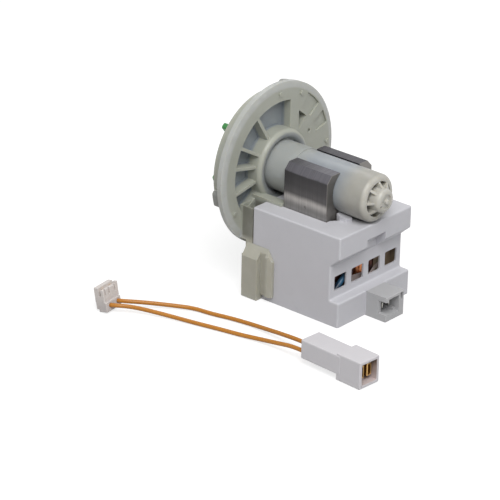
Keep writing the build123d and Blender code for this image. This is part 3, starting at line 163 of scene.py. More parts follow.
# Core, copper and sleeve
ABOVE_CHAMFER = (CHAMFER_LOW - 0.2 * MM, CHAMFER_LOW + 0.8 * MM)
FAR_POLE = (0.0, 4 * MM)
CORE_END = (CORE_HIGH.x - 0.35 * MM, CORE_HIGH.x - 0.15 * MM)
# Band across Y of the copper's painted highlight
HIGHLIGHT_MIDDLE = 2.6 * MM
HIGHLIGHT_EDGE = (1.5 * MM, 2.9 * MM)
SLEEVE_ENDS = (0.6 * MM, 3.8 * MM)

# Optics that several materials share
NYLON_IOR = 1.53
PLASTIC_IOR = 1.5
METAL_IOR = 2.5
NYLON_INSIDE = (0.45, (1.0, 0.9, 0.7), 2.4 * MM)
WHITE_INSIDE = (0.15, (1.0, 1.0, 1.0), 1.0 * MM)
WARM_INSIDE = (0.15, (1.0, 0.95, 0.92), 1.0 * MM)
NOISE_LOW, NOISE_HIGH = 0.3, 0.7    # nearly all of a noise lies between these

# Edges and turns
SHARP_ANGLE = 40
TURN_SHARP_ANGLE = 50
ROUNDED_ANGLE = 32
ROUNDING_STEPS = 2
MERGE_DISTANCE = 0.002 * MM
FLAT_ANGLE = 0.5
SHEET = 0.5 * MM
TURN_PITCH = 0.42 * MM
TURN_RELIEF = 0.10 * MM
TURN_WANDER = 0.10 * MM
WANDER_WAVES = (0.11, 0.031)    # slow waves along the coil, in radians for each ring
WANDER_ROUND = 9                # and round it, in radians for each round
RINGS_PER_TURN = 4
WINDING_CORNER = 3.0 * MM
CORNER_STEPS = 6


# Shader building

class Look:
    """One material and its node tree."""

    def __init__(self, name, roughness=0.5, metallic=0.0, ior=1.46):
        self.material = bpy.data.materials.new(name)
        self.material.use_nodes = True
        self.tree = self.material.node_tree
        self.shader = self.tree.nodes["Principled BSDF"]
        self.shader.inputs["Roughness"].default_value = roughness
        self.shader.inputs["Metallic"].default_value = metallic
        self.shader.inputs["IOR"].default_value = ior
        self.place = self.tree.nodes.new("ShaderNodeTexCoord").outputs["Object"]

    def node(self, kind, **settings):
        node = self.tree.nodes.new(kind)
        for name, value in settings.items():
            setattr(node, name, value)
        return node

    def link(self, output, node, socket):
        self.tree.links.new(output, node.inputs[socket])

    def put(self, node, socket, value):
        """Sets a socket to a value, or links it to an output."""
        if isinstance(value, bpy.types.NodeSocket):
            self.link(value, node, socket)
        else:
            node.inputs[socket].default_value = value

    def paint(self, node, socket, value):
        """Sets a colour socket to a tone, or links it to an output."""
        linked = isinstance(value, bpy.types.NodeSocket)
        self.put(node, socket, value if linked else (*value, 1.0))

    def axis(self, name):
        """One coordinate of the point, in metres."""
        split = self.node("ShaderNodeSeparateXYZ")
        self.link(self.place, split, "Vector")
        return split.outputs[name]

    def radius(self):
        """Distance from the rotor axis."""
        across = self.axis("Y")
        above = self.math("SUBTRACT", self.axis("Z"), AXIS_HEIGHT)
        square = self.math("MULTIPLY_ADD", across, across, self.both(above, above))
        return self.math("SQRT", square)

    def toward(self, place, direction):
        """How far the point lies from a place along a direction."""
        gap = self.node("ShaderNodeVectorMath", operation="SUBTRACT")
        self.link(self.place, gap, 0)
        gap.inputs[1].default_value = place
        along = self.node("ShaderNodeVectorMath", operation="DOT_PRODUCT")
        self.link(gap.outputs["Vector"], along, 0)
        along.inputs[1].default_value = direction
        return along.outputs["Value"]

    def math(self, operation, first, second=0.0, third=0.0):
        node = self.node("ShaderNodeMath", operation=operation)
        for index, value in enumerate((first, second, third)):
            self.put(node, index, value)
        return node.outputs["Value"]

    def both(self, first, second):
        """Product of two masks."""
        return self.math("MULTIPLY", first, second)

    def away(self, value, middle):
        """Distance of a value from a middle."""
        return self.math("ABSOLUTE", self.math("SUBTRACT", value, middle))

    def span(self, value, low, high, out_low=0.0, out_high=1.0):
        """Maps low..high to out_low..out_high, smoothly and clamped."""
        node = self.node("ShaderNodeMapRange", interpolation_type="SMOOTHSTEP")
        self.put(node, "Value", value)
        for name, number in (("From Min", low), ("From Max", high),
                             ("To Min", out_low), ("To Max", out_high)):
            node.inputs[name].default_value = number
        return node.outputs["Result"]

    def below(self, value, low, high):
        """1 below low, fading to 0 at high."""
        return self.span(value, low, high, 1.0, 0.0)

    def within(self, value, low, high, soft):
        """1 from low to high, fading to 0 over soft on each side."""
        return self.both(self.span(value, low - soft, low), self.below(value, high, high + soft))

    def noise(self, size, detail=3.0, stretch=(1.0, 1.0, 1.0)):
        """Noise whose features are about size metres across, longer along a small stretch."""
        mapping = self.node("ShaderNodeMapping")
        self.link(self.place, mapping, "Vector")
        mapping.inputs["Scale"].default_value = stretch
        noise = self.node("ShaderNodeTexNoise")
        self.link(mapping.outputs["Vector"], noise, "Vector")
        noise.inputs["Scale"].default_value = 1.0 / size
        noise.inputs["Detail"].default_value = detail
        return noise.outputs["Fac"]

    def ramp(self, value, low, high, stops):
        """Colours at shares of the way from low to high. The two ends come first."""
        share = self.node("ShaderNodeMapRange")
        self.put(share, "Value", value)
        share.inputs["From Min"].default_value = low
        share.inputs["From Max"].default_value = high
        ramp = self.node("ShaderNodeValToRGB")
        self.link(share.outputs["Result"], ramp, "Fac")
        line = ramp.color_ramp
        line.interpolation = "EASE"
        for index, (place, colour) in enumerate(stops):
            stop = line.elements[index] if index < 2 else line.elements.new(place)
            stop.position = place
            stop.color = (*colour, 1.0)
        return ramp.outputs["Color"]

    def mix(self, factor, first, second):
        """From the first colour at 0 to the second at 1."""
        node = self.node("ShaderNodeMix", data_type="RGBA")
        self.put(node, "Factor", factor)
        self.paint(node, 6, first)
        self.paint(node, 7, second)
        return node.outputs[2]

    def mottle(self, size, low, high, detail=3.0):
        """Two tones in soft patches of about size metres."""
        return self.mix(self.noise(size, detail), low, high)

    def colour(self, value):
        self.paint(self.shader, "Base Color", value)

    def rough(self, value):
        self.put(self.shader, "Roughness", value)

    def uneven(self, size, low, high):
        """Roughness from low to high in patches of about size metres."""
        self.rough(self.span(self.noise(size), NOISE_LOW, NOISE_HIGH, low, high))

    def bump(self, height, depth, normal=None):
        """Bump of a depth in metres from a height of 0 to 1."""
        node = self.node("ShaderNodeBump")
        node.inputs["Strength"].default_value = 1.0
        node.inputs["Distance"].default_value = depth
        self.link(height, node, "Height")
        if normal is not None:
            self.link(normal, node, "Normal")
        self.link(node.outputs["Normal"], self.shader, "Normal")
        return node.outputs["Normal"]

    def translucent(self, weight, radius, scale):
        """Light that spreads inside the material."""
        self.shader.inputs["Subsurface Weight"].default_value = weight
        self.shader.inputs["Subsurface Radius"].default_value = radius
        self.shader.inputs["Subsurface Scale"].default_value = scale


def flange_nylon():
    """Natural nylon: thin pocket floors look bluish, ribs and thick places greyish yellow. Painted
    shade darkens the pocket floors, the inside of the collar, the lugs and the bracket above its
    foot.
    """
    look = Look("flange_nylon", roughness=0.42, ior=NYLON_IOR)
    depth = look.axis("X")
    radius = look.radius()
    height = look.axis("Z")
    colour = look.mottle(9 * MM, (0.375, 0.385, 0.328), (0.440, 0.452, 0.395))
    rim = look.mottle(7 * MM, (0.450, 0.462, 0.435), (0.510, 0.520, 0.500))
    colour = look.mix(look.span(radius, *RIM_RADII), colour, rim)
    # Painted shade on the lugs and the front edge of the rim.
    lug_shade = look.both(look.span(radius, *LUG_RADII), look.below(depth, *LUG_BACK))
    colour = look.mix(lug_shade, colour, (0.265, 0.270, 0.255))
    arm = look.mottle(6 * MM, (0.390, 0.380, 0.315), (0.475, 0.465, 0.400))
    # Painted shade: between the flange and the housing the bracket is dark above its foot.
    bracket_shade = look.mottle(5 * MM, (0.165, 0.165, 0.135), (0.240, 0.238, 0.205))
    bracket = look.mix(look.span(height, *BOX_FOOT), arm, bracket_shade)
    behind = look.both(look.span(depth, *BRACKET_FRONT), look.below(height, *BRACKET_TOP))
    colour = look.mix(behind, colour, bracket)
    # Pocket floors: bluish where the thin web is seen through, and darker as painted shade inside
    # the pockets.
    seen_through_and_shade = look.mottle(6 * MM, (0.255, 0.285, 0.305), (0.335, 0.365, 0.390))
    floor = look.within(depth, *POCKET_FLOORS, 1.2 * MM)
    pocket = look.within(radius, *POCKET_RADII, 0.8 * MM)
    colour = look.mix(look.both(floor, pocket), colour, seen_through_and_shade)
    # Painted shade inside the collar, down to the sleeve.
    collar_shade = look.mottle(4 * MM, (0.235, 0.250, 0.255), (0.295, 0.310, 0.315))
    colour = look.mix(look.below(radius, *COLLAR_RADII), colour, collar_shade)
    specks = look.span(look.noise(1.6 * MM, detail=5.0), 0.62, 0.78, 0.0, 0.25)
    look.colour(look.mix(specks, colour, (0.36, 0.345, 0.265)))
    look.uneven(3 * MM, 0.34, 0.50)
    look.bump(look.noise(0.5 * MM, detail=4.0), 0.02 * MM)
    look.translucent(*NYLON_INSIDE)
    return look.material


def can_nylon():
    """Natural nylon, bluish where the dark magnet shows through the thin tube. Painted light
    lightens the nose's end face, and painted shade darkens the underside and the hollow round the
    nose bush.
    """
    look = Look("can_nylon", roughness=0.36, ior=NYLON_IOR)
    along = look.axis("X")
    milk = look.mottle(7 * MM, (0.370, 0.386, 0.372), (0.440, 0.458, 0.445))
    blue = look.mottle(5 * MM, (0.275, 0.298, 0.322), (0.325, 0.352, 0.378))
    tip = look.mottle(4 * MM, (0.340, 0.330, 0.292), (0.425, 0.415, 0.375))
    # Painted light on the nose's end face.
    face = look.mottle(4 * MM, (0.490, 0.475, 0.425), (0.590, 0.575, 0.525))
    tip = look.mix(look.span(along, *NOSE_FACE), tip, face)
    thin = look.span(along, *TUBE_START)
    nose = look.span(along, *NOSE_START)
    colour = look.mix(nose, look.mix(thin, milk, blue), tip)
    # Painted shade on the can's underside.
    underside_shade = look.span(look.axis("Z"), *UNDERSIDE, 0.45, 0.0)
    colour = look.mix(underside_shade, colour, (0.22, 0.215, 0.185))
    # Painted shade in the hollow round the nose bush.
    hollow_shade = look.both(look.within(look.radius(), *RECESS_RADII, 0.3 * MM),
                       look.below(along, *RECESS_MOUTH))
    look.colour(look.mix(look.both(hollow_shade, nose), colour, (0.235, 0.190, 0.125)))
    look.uneven(2.5 * MM, 0.28, 0.44)
    look.bump(look.noise(0.6 * MM), 0.015 * MM)
    look.translucent(*NYLON_INSIDE)
    return look.material


def white_skin(look, grain, inside, waves=True):
    """Surface of a white moulding: fine grain, and slow waves on the larger ones."""
    look.uneven(4 * MM, 0.42, 0.58)
    fine = look.bump(look.noise(grain, detail=2.0), 0.012 * MM)
    if waves:
        look.bump(look.noise(9 * MM, detail=1.0), 0.05 * MM, normal=fine)
    look.translucent(*inside)


def housing_plastic(low, high):
    """White moulding, darker about its shroud with painted shade on the shroud's side towards -Y,
    and tan tape painted on the inner side wall.
    """
    look = Look("white_housing", ior=PLASTIC_IOR)
    out = look.axis("X")
    across = look.axis("Y")
    colour = look.mottle(14 * MM, low, high)
    smudge = look.span(look.noise(5 * MM, detail=6.0), 0.58, 0.80, 0.0, 0.22)
    colour = look.mix(smudge, colour, [value * 0.86 for value in low])
    shroud = look.span(out, *SHROUD_START)
    colour = look.mix(look.both(shroud, 0.65), colour, (0.415, 0.416, 0.410))
    # Painted shade on the shroud's side towards -Y.
    shroud_side_shade = look.below(across, *SHROUD_LEFT)
    colour = look.mix(look.both(look.both(shroud, shroud_side_shade), 0.85), colour, (0.165, 0.168, 0.155))
    tape = look.both(look.within(across, *TAPE_ACROSS, 0.2 * MM),
                     look.within(out, *TAPE_ALONG, 0.2 * MM))
    tape = look.both(tape, look.within(look.axis("Z"), *TAPE_HEIGHTS, 0.5 * MM))
    tan = look.mottle(2.5 * MM, (0.190, 0.140, 0.090), (0.260, 0.195, 0.130))
    look.colour(look.mix(tape, colour, tan))
    white_skin(look, 0.16 * MM, WHITE_INSIDE)
    return look.material


def plug_plastic(low, high):
    """White moulding of the small plug, darker towards its foot."""
    look = Look("white_plug", ior=PLASTIC_IOR)
    noisy_value = look.math("MULTIPLY_ADD", look.noise(2 * MM), 2 * MM, look.axis("Z"))
    darker_foot = look.span(noisy_value, *FOOT_HEIGHTS, 0.6, 0.0)
    look.colour(look.mix(darker_foot, look.mottle(6 * MM, low, high), (0.500, 0.460, 0.455)))
    white_skin(look, 0.25 * MM, WARM_INSIDE, waves=False)
    return look.material


def connector_plastic(low, high):
    """White moulding whose mouth has painted shade, brown and darker towards its top and back."""
    look = Look("white_connector", ior=PLASTIC_IOR)
    axis = Vector(MOUTH["axis"])
    depth = look.toward(MOUTH["pos_m"], axis)
    side = look.away(look.toward(MOUTH["pos_m"], (-axis.y, axis.x, 0.0)), 0.0)
    height = look.math("SUBTRACT", look.axis("Z"), MOUTH["pos_m"][2])
    outside = look.mottle(14 * MM, low, high)
    # Painted shade in the mouth: light on its floor, dark brown towards its top and back.
    wall = look.ramp(height, *MOUTH_HEIGHTS, (
        (0.0, (0.60, 0.52, 0.51)), (1.0, (0.22, 0.15, 0.11)), (0.45, (0.46, 0.38, 0.36))))
    wall = look.mix(look.span(depth, *MOUTH_SHADE, 0.75, 0.0), wall, (0.10, 0.055, 0.030))
    inside = look.both(look.within(depth, *MOUTH_DEPTHS, 0.3 * MM),
                       look.below(side, *MOUTH_SIDES))
    tall = look.below(look.away(height, 0.0), *MOUTH_TOP)
    look.colour(look.mix(look.both(inside, tall), outside, wall))
    white_skin(look, 0.3 * MM, WARM_INSIDE)
    return look.material


def laminated_steel():
    """Stack of sheets along X. Painted reflection makes a bright band low on the sides and dark
    above; painted light lightens the chamfer and the face towards +X, and painted shade darkens
    the pole towards +Y.
    """
    look = Look("laminated_steel", roughness=0.42, metallic=1.0, ior=METAL_IOR)
    sheet = look.math("DIVIDE", look.axis("X"), SHEET)
    chance = look.node("ShaderNodeTexWhiteNoise", noise_dimensions="1D")
    look.link(look.math("FLOOR", sheet), chance, "W")
    height = look.math("MULTIPLY_ADD", look.noise(7 * MM), 1.2 * MM, look.axis("Z"))
    # Painted reflection: bright low on the sides, dark higher up.
    side = look.ramp(height, HOUSING_TOP, CHAMFER_LOW, (
        (0.0, (0.380, 0.370, 0.358)), (1.0, (0.058, 0.056, 0.058)),
        (0.16, (0.270, 0.262, 0.252)), (0.34, (0.430, 0.410, 0.392)),
        (0.50, (0.105, 0.101, 0.102)), (0.75, (0.072, 0.069, 0.071))))
    # Painted light on the chamfer and the top.
    above = look.span(height, *ABOVE_CHAMFER)
    tone = look.mix(above, side, (0.150, 0.146, 0.162))
    # Painted shade on the pole towards +Y.
    far_pole_shade = look.span(look.axis("Y"), *FAR_POLE, 0.0, 0.55)
    tone = look.mix(far_pole_shade, tone, (0.032, 0.030, 0.034))
    # Painted light on the face towards +X.
    end_face_light = look.span(look.axis("X"), *CORE_END)
    tone = look.mix(look.both(end_face_light, 0.8), tone, (0.300, 0.285, 0.265))
    streak = look.span(chance.outputs["Value"], 0.0, 1.0, 0.0, 0.16)
    tone = look.mix(streak, tone, (0.05, 0.048, 0.052))
    stain = look.span(look.noise(3 * MM, detail=6.0), 0.64, 0.76, 0.0, 0.25)
    look.colour(look.mix(stain, tone, (0.12, 0.10, 0.085)))
    look.rough(look.span(chance.outputs["Value"], 0.0, 1.0, 0.38, 0.46))
    groove = look.span(look.math("PINGPONG", sheet, 0.5), 0.0, 0.12)
    scratch = look.noise(0.5 * MM, detail=4.0, stretch=(1.0, 0.12, 0.12))
    look.bump(scratch, 0.005 * MM, normal=look.bump(groove, 0.012 * MM))
    return look.material


def rubber():
    look = Look("black_rubber", roughness=0.72, ior=PLASTIC_IOR)
    look.colour(look.mottle(2 * MM, (0.018, 0.018, 0.019), (0.040, 0.040, 0.042)))
    look.bump(look.noise(0.3 * MM), 0.02 * MM)
    return look.material


def ferrite():
    look = Look("ferrite", roughness=0.55, metallic=0.2, ior=2.2)
    look.colour(look.mottle(1.2 * MM, (0.045, 0.045, 0.05), (0.085, 0.083, 0.085), detail=5.0))
    look.bump(look.noise(0.2 * MM), 0.02 * MM)
    return look.material


def carbon():
    """Sintered bush, with faint marks that run round X."""
    look = Look("bush_carbon", roughness=0.45, metallic=0.3, ior=1.9)
    look.colour(look.mottle(0.8 * MM, (0.05, 0.05, 0.055), (0.12, 0.12, 0.125), detail=5.0))
    look.bump(look.noise(0.25 * MM, stretch=(1.0, 0.2, 0.2)), 0.01 * MM)
    return look.material


def ground_metal(name, low, high, roughness):
    """Steel turned or ground round X, with fine rings."""
    look = Look(name, roughness=roughness, metallic=1.0, ior=METAL_IOR)
    look.colour(look.mottle(4 * MM, low, high))
    look.uneven(1.5 * MM, roughness - 0.06, roughness + 0.10)
    look.bump(look.noise(0.25 * MM, detail=2.0, stretch=(1.0, 0.05, 0.05)), 0.006 * MM)
    return look.material


def plated_metal(name, low, high):
    """Stamped contact metal, drawn along X."""
    look = Look(name, roughness=0.35, metallic=1.0, ior=METAL_IOR)
    look.colour(look.mottle(1.2 * MM, low, high, detail=4.0))
    look.uneven(0.9 * MM, 0.28, 0.46)
    look.bump(look.noise(0.4 * MM, stretch=(0.2, 1.0, 1.0)), 0.008 * MM)
    return look.material


def plain_plastic(name, low, high, roughness):
    look = Look(name, roughness=roughness, ior=PLASTIC_IOR)
    look.colour(look.mottle(3 * MM, low, high))
    look.uneven(2 * MM, roughness - 0.07, roughness + 0.07)
    look.bump(look.noise(0.4 * MM), 0.012 * MM)
    return look.material


def enamelled_copper():
    """Wound enamelled wire, dark red-brown as painted shade, with a painted highlight where the
    coil's rounded corner catches the light.
    """
    look = Look("enamelled_copper", roughness=0.30, metallic=0.85, ior=1.6)
    # Painted shade: dark red-brown turns.
    patch = look.span(look.noise(4 * MM), 0.35, 0.65)
    dark = look.mix(patch, (0.050, 0.020, 0.024), (0.170, 0.050, 0.030))
    bright = look.mottle(0.9 * MM, (0.78, 0.24, 0.07), (0.95, 0.42, 0.20))
    # Painted highlight along the coil's rounded corner.
    highlight_band = look.below(look.away(look.axis("Y"), HIGHLIGHT_MIDDLE), *HIGHLIGHT_EDGE)
    look.colour(look.mix(highlight_band, dark, bright))
    look.bump(look.noise(0.3 * MM, stretch=(0.3, 0.3, 1.0)), 0.01 * MM)
    look.shader.inputs["Coat Weight"].default_value = 0.4
    look.shader.inputs["Coat Roughness"].default_value = 0.15
    return look.material


def tape_film():
    """Tan film tape with a faint weave."""
    look = Look("tan_tape", roughness=0.55, ior=PLASTIC_IOR)
    look.colour(look.mottle(2.5 * MM, (0.205, 0.150, 0.095), (0.290, 0.220, 0.150), detail=4.0))
    look.bump(look.noise(0.35 * MM, stretch=(1.0, 1.0, 0.2)), 0.03 * MM)
    return look.material


def sleeve_blue():
    """Heat-shrunk film, teal, darker towards its ends."""
    look = Look("blue_sleeve", roughness=0.32, ior=PLASTIC_IOR)
    low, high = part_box("fuse_sleeve")
    body = look.mottle(1.5 * MM, (0.030, 0.120, 0.230), (0.060, 0.190, 0.330))
    ends = look.span(look.away(look.axis("Y"), (low.y + high.y) / 2), *SLEEVE_ENDS)
    look.colour(look.mix(ends, body, (0.012, 0.030, 0.062)))
    look.bump(look.noise(0.5 * MM), 0.01 * MM)
    return look.material


def orange_wire():
    """Extruded insulation, with faint lengthwise drawing lines and soiling."""
    look = Look("orange_insulation", roughness=0.40, ior=PLASTIC_IOR)
    base = look.mottle(6 * MM, (0.465, 0.172, 0.013), (0.550, 0.222, 0.020))
    noisy_value = look.span(look.noise(1.5 * MM, detail=5.0), 0.60, 0.75, 0.0, 0.35)
    look.colour(look.mix(noisy_value, base, (0.32, 0.15, 0.03)))
    look.bump(look.noise(0.5 * MM, stretch=(0.15, 1.0, 1.0)), 0.01 * MM)
    look.translucent(0.1, (1.0, 0.6, 0.3), 0.6 * MM)
    return look.material


def make_looks():
    """One look for each material slot of the record."""
    return {
        "natural_nylon": flange_nylon(),
        "natural_nylon_can": can_nylon(),
        "black_rubber": rubber(),
        "bush_carbon": carbon(),
        "steel_bright": ground_metal("steel_bright", (0.50, 0.50, 0.52), (0.62, 0.62, 0.64), 0.25),
        "ferrite": ferrite(),
        "black_plastic": plain_plastic(
            "black_plastic", (0.02, 0.02, 0.022), (0.035, 0.035, 0.04), 0.45),
        "green_plastic": plain_plastic(
            "green_plastic", (0.030, 0.200, 0.045), (0.055, 0.300, 0.075), 0.38),
        "laminated_steel": laminated_steel(),
        # Near-black bobbins: the tone also paints the shade seen through the housing's windows.
        "bobbin_nylon": plain_plastic(
            "bobbin_nylon", (0.045, 0.040, 0.042), (0.075, 0.068, 0.070), 0.5),
        "enamelled_copper": enamelled_copper(),
        "tan_tape": tape_film(),
        "blue_sleeve": sleeve_blue(),
        "white_housing": housing_plastic((0.585, 0.582, 0.615), (0.615, 0.612, 0.645)),
        "tinned_metal": plated_metal("tinned_metal", (0.40, 0.39, 0.36), (0.54, 0.53, 0.50)),
        "white_connector": connector_plastic((0.640, 0.622, 0.645), (0.680, 0.662, 0.685)),
        "brass_contact": plated_metal(
            "brass_contact", (0.560, 0.350, 0.120), (0.740, 0.480, 0.190)),
        "orange_insulation": orange_wire(),
        "white_plug": plug_plastic((0.660, 0.610, 0.580), (0.740, 0.690, 0.660)),
    }


LOOKS = make_looks()
SLOT_OF = {part["node"]: part["material_slot"] for part in frame["record"]["subparts"]}

for node_name, node_object in frame["nodes"].items():
    node_object.data.materials.clear()
    node_object.data.materials.append(LOOKS[SLOT_OF[node_name]])


# What the pieces share

def add_object(name, data):
    """A new object in the scene."""
    item = bpy.data.objects.new(name, data)
    bpy.context.scene.collection.objects.link(item)
    return item


def add_shape(name, shape):
    """A new object from an edited mesh, which is freed."""
    mesh = bpy.data.meshes.new(name)
    shape.to_mesh(mesh)
    shape.free()
    return add_object(name, mesh)


def dress(piece, slot):
    """Gives a piece the look of one of the record's slots."""
    piece.data.materials.clear()
    piece.data.materials.append(LOOKS[slot])


def shade_by_angle(piece, degrees):
    mesh = piece.data
    mesh.polygons.foreach_set("use_smooth", [True] * len(mesh.polygons))
    mesh.set_sharp_from_angle(angle=math.radians(degrees))


def apply_modifiers(piece):
    depsgraph = bpy.context.evaluated_depsgraph_get()
    mesh = bpy.data.meshes.new_from_object(piece.evaluated_get(depsgraph))
    piece.modifiers.clear()
    piece.data = mesh


# Moulded and cut edges

SOFT_EDGES = {
    "flange_plate": 0.30, "rotor_can": 0.25, "coil_housing": 0.25, "base_cover": 0.2,
    "adapter_housing": 0.3, "plug_housing": 0.2, "stator_core": 0.12, "impeller": 0.25,
    "adapter_contacts": 0.08, "pump_tabs": 0.08, "bobbin_left": 0.15, "bobbin_right": 0.15,
}


def softened(node, width):
    """A copy of a node with its sharp edges rounded, which stands for the node."""
    source = frame["nodes"][node]
    shape = bmesh.new()
    shape.from_mesh(source.data)
    bmesh.ops.remove_doubles(shape, verts=shape.verts, dist=MERGE_DISTANCE)
    bmesh.ops.dissolve_limit(shape, angle_limit=math.radians(FLAT_ANGLE),
                             verts=shape.verts, edges=shape.edges)
    piece = add_shape(f"{node}_finished", shape)
    shade_by_angle(piece, SHARP_ANGLE)
    rounding = piece.modifiers.new("rounding", "BEVEL")
    rounding.width = width
    rounding.segments = ROUNDING_STEPS
    rounding.limit_method = "ANGLE"
    rounding.angle_limit = math.radians(ROUNDED_ANGLE)
    rounding.use_clamp_overlap = True
    weighting = piece.modifiers.new("weighting", "WEIGHTED_NORMAL")
    weighting.mode = "FACE_AREA"
    weighting.weight = 100
    weighting.keep_sharp = True
    apply_modifiers(piece)
    dress(piece, SLOT_OF[node])
    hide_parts(node)
    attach(piece, source["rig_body"])
    return piece


FINISHED = {node: softened(node, width * MM) for node, width in SOFT_EDGES.items()}


# The lead's wires

def lead_wire(node, route):
    """One insulated wire on a smooth curve, from the adapter into the plug."""
    curve = bpy.data.curves.new(f"{node}_insulation", "CURVE")
    curve.dimensions = "3D"
    curve.bevel_depth = WIRE_DIAMETER / 2
    curve.bevel_resolution = 6
    curve.resolution_u = 16
    curve.use_fill_caps = True
    spline = curve.splines.new("NURBS")
    spline.points.add(len(route) - 1)
    for point, place in zip(spline.points, route):
        point.co = (*[value * MM for value in place], 1.0)
    spline.order_u = 3
    spline.use_endpoint_u = True
    wire = add_object(f"{node}_insulation", curve)
    dress(wire, SLOT_OF[node])
    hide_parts(node)
    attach(wire, "root")


lead_wire("lead_wire_upper", UPPER_ROUTE)
lead_wire("lead_wire_lower", LOWER_ROUTE)


# Windings: turns of enamelled wire on each bobbin

def rounded_outline(low, high, radius):
    """Points of a rounded rectangle in XY, anticlockwise."""
    corners = [
        (high.x - radius, high.y - radius, 0), (low.x + radius, high.y - radius, 90),
        (low.x + radius, low.y + radius, 180), (high.x - radius, low.y + radius, 270),
    ]
    points = []
    for x, y, start in corners:
        for step in range(CORNER_STEPS + 1):
            turn = math.radians(start + 90 * step / CORNER_STEPS)
            points.append(Vector((x + radius * math.cos(turn), y + radius * math.sin(turn), 0)))
    return points


def winding(node):
    """Coil whose outside shows its turns as ridges, climbing like the wire does."""
    low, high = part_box(node)
    height = high.z - low.z
    centre = (low + high) / 2
    outline = rounded_outline(low, high, WINDING_CORNER)
    rings = int(height / TURN_PITCH) * RINGS_PER_TURN
    shape = bmesh.new()
    layers = []
    for ring in range(rings + 1):
        layer = []
        for index, point in enumerate(outline):
            share = index / len(outline)
            phase = (ring / RINGS_PER_TURN + share) % 1.0
            sink = TURN_RELIEF * (1 - math.sin(math.pi * phase))
            wave = (math.sin(ring * WANDER_WAVES[0] + share * WANDER_ROUND)
                    * math.sin(ring * WANDER_WAVES[1]))
            inward = centre - point
            inward.z = 0
            inward.normalize()
            place = point + inward * (sink + TURN_WANDER * (1 + wave))
            layer.append(shape.verts.new((place.x, place.y, low.z + height * ring / rings)))
        layers.append(layer)
    for lower, upper in zip(layers, layers[1:]):
        for index in range(len(outline)):
            after = (index + 1) % len(outline)
            shape.faces.new((lower[index], lower[after], upper[after], upper[index]))
    shape.faces.new(reversed(layers[0]))
    shape.faces.new(layers[-1])
    piece = add_shape(f"{node}_turns", shape)
    shade_by_angle(piece, TURN_SHARP_ANGLE)
    dress(piece, SLOT_OF[node])
    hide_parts(node)
    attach(piece, "root")


winding("winding_left")
winding("winding_right")


# What the windows show in front of the windings, as outlines in Y and Z in mm

GUIDE = [(-4.8, 10.5), (-4.8, 17.0), (5.0, 16.0), (9.0, 13.8), (12.2, 16.2), (14.9, 17.6),
         (18.6, 14.0), (18.6, 10.5)]
WEDGE = [(10.7, 13.2), (13.6, 14.9), (17.1, 11.8), (13.6, 11.9)]
FLAP = [(14.3, 17.4), (14.3, 18.1), (17.8, 20.8), (21.0, 20.8), (18.4, 15.2)]
TAIL = [(20.8, 11.0), (20.8, 24.0), (24.6, 24.0), (24.6, 11.0)]
GREY_NYLON = plain_plastic("guide_nylon", (0.420, 0.350, 0.335), (0.580, 0.500, 0.480), 0.5)
OLIVE_FILM = plain_plastic("olive_film", (0.200, 0.190, 0.130), (0.290, 0.270, 0.195), 0.55)
PLATES = [    # name, outline, mm above the tape's face, mm thick, material and slot
    ("wire_guide", GUIDE, 0.0, 0.5, GREY_NYLON, "bobbin_nylon"),
    ("film_wedge", WEDGE, 0.45, 0.2, OLIVE_FILM, "tan_tape"),
    ("film_flap", FLAP, 0.0, 0.2, OLIVE_FILM, "tan_tape"),
    ("tape_tail", TAIL, 0.0, 0.2, LOOKS["tan_tape"], "tan_tape"),
]


def plate(name, outline, rise, thickness, material):
    """A thin moulded or cut plate across X with soft edges."""
    shape = bmesh.new()
    foot = TAPE_FACE + rise
    face = shape.faces.new([shape.verts.new((foot, y * MM, z * MM)) for y, z in outline])
    grown = bmesh.ops.extrude_face_region(shape, geom=[face])
    corners = [item for item in grown["geom"] if isinstance(item, bmesh.types.BMVert)]
    bmesh.ops.translate(shape, verts=corners, vec=(thickness, 0, 0))
    bmesh.ops.recalc_face_normals(shape, faces=shape.faces)
    bmesh.ops.bevel(shape, geom=shape.edges[:], offset=thickness / 4, segments=2, affect="EDGES")
    piece = add_shape(name, shape)
    shade_by_angle(piece, SHARP_ANGLE)
    piece.data.materials.append(material)
    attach(piece, "root")


for plate_name, edge, above_tape, thick, film, film_slot in PLATES:
    plate(plate_name, edge, above_tape * MM, thick * MM, film)


# Floor, light and camera

def seen_directly(tree):
    """1 where the camera sees the point itself, in a mirror or through glass."""
    path = tree.nodes.new("ShaderNodeLightPath")
    seen = path.outputs["Is Camera Ray"]
    for ray in ("Is Glossy Ray", "Is Transmission Ray"):
        either = tree.nodes.new("ShaderNodeMath")
        either.operation = "MAXIMUM"
        tree.links.new(seen, either.inputs[0])
        tree.links.new(path.outputs[ray], either.inputs[1])
        seen = either.outputs["Value"]
    return seen


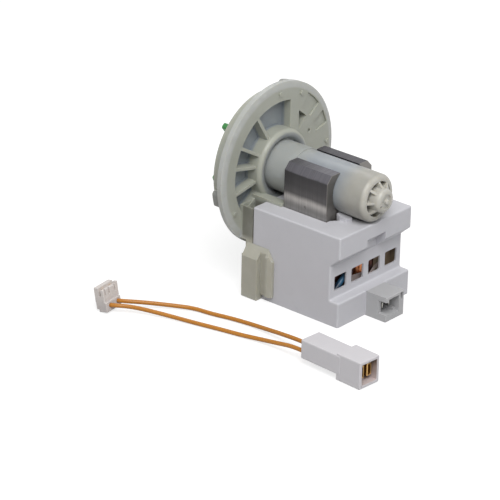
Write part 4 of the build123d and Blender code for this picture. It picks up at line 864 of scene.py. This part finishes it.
def make_floor():
    """Pale floor that shows white with the object's soft shadow."""
    mesh = bpy.data.meshes.new("floor")
    corners = [(-1, -1), (1, -1), (1, 1), (-1, 1)]
    mesh.from_pydata([(x * FLOOR_REACH, y * FLOOR_REACH, 0) for x, y in corners],
                     [], [(0, 1, 2, 3)])
    floor = add_object("floor", mesh)
    floor.location.z = -FLOOR_DROP
    look = Look("floor_paper", roughness=0.9)
    look.colour(FLOOR_TONE)
    glow = look.node("ShaderNodeEmission")
    glow.inputs["Color"].default_value = (1.0, 1.0, 1.0, 1.0)
    look.put(glow, "Strength", look.both(seen_directly(look.tree), FLOOR_GLOW))
    added = look.node("ShaderNodeAddShader")
    look.link(look.shader.outputs["BSDF"], added, 0)
    look.link(glow.outputs["Emission"], added, 1)
    look.link(added.outputs["Shader"], look.tree.nodes["Material Output"], "Surface")
    mesh.materials.append(look.material)


def make_world():
    """White to the eye, softer as light."""
    world = bpy.data.worlds.new("studio")
    bpy.context.scene.world = world
    world.use_nodes = True
    tree = world.node_tree
    background = tree.nodes["Background"]
    level = tree.nodes.new("ShaderNodeMapRange")
    level.inputs["To Min"].default_value = WORLD_LIGHT
    level.inputs["To Max"].default_value = WORLD_SEEN
    tree.links.new(seen_directly(tree), level.inputs["Value"])
    background.inputs["Color"].default_value = (1.0, 1.0, 1.0, 1.0)
    tree.links.new(level.outputs["Result"], background.inputs["Strength"])


def area_light(name, place, target, size, power):
    light = bpy.data.lights.new(name, "AREA")
    light.shape = "DISK"
    light.size = size
    light.energy = power
    lamp = add_object(name, light)
    lamp.location = place
    direction = Vector(target) - Vector(place)
    lamp.rotation_euler = direction.to_track_quat("-Z", "Y").to_euler()


def make_camera():
    back = Vector((math.sin(AZIMUTH) * math.cos(ELEVATION),
                   -math.cos(AZIMUTH) * math.cos(ELEVATION), math.sin(ELEVATION)))
    right = Vector((math.cos(AZIMUTH), math.sin(AZIMUTH), 0.0))
    up = back.cross(right)
    across = right * math.cos(ROLL) + up * math.sin(ROLL)
    upward = up * math.cos(ROLL) - right * math.sin(ROLL)
    camera = bpy.data.cameras.new("camera")
    camera.lens = LENS
    camera.sensor_width = SENSOR
    camera.sensor_fit = "HORIZONTAL"
    camera.clip_start = CLIP_START
    camera.clip_end = CLIP_END
    eye = add_object("camera", camera)
    turn = Matrix((across, upward, back)).transposed().to_4x4()
    eye.matrix_world = Matrix.Translation(CAMERA_PLACE) @ turn
    bpy.context.scene.camera = eye


make_floor()
make_world()
for lamp_settings in LAMPS:
    area_light(*lamp_settings)
make_camera()
bpy.context.scene.view_settings.view_transform = "Standard"
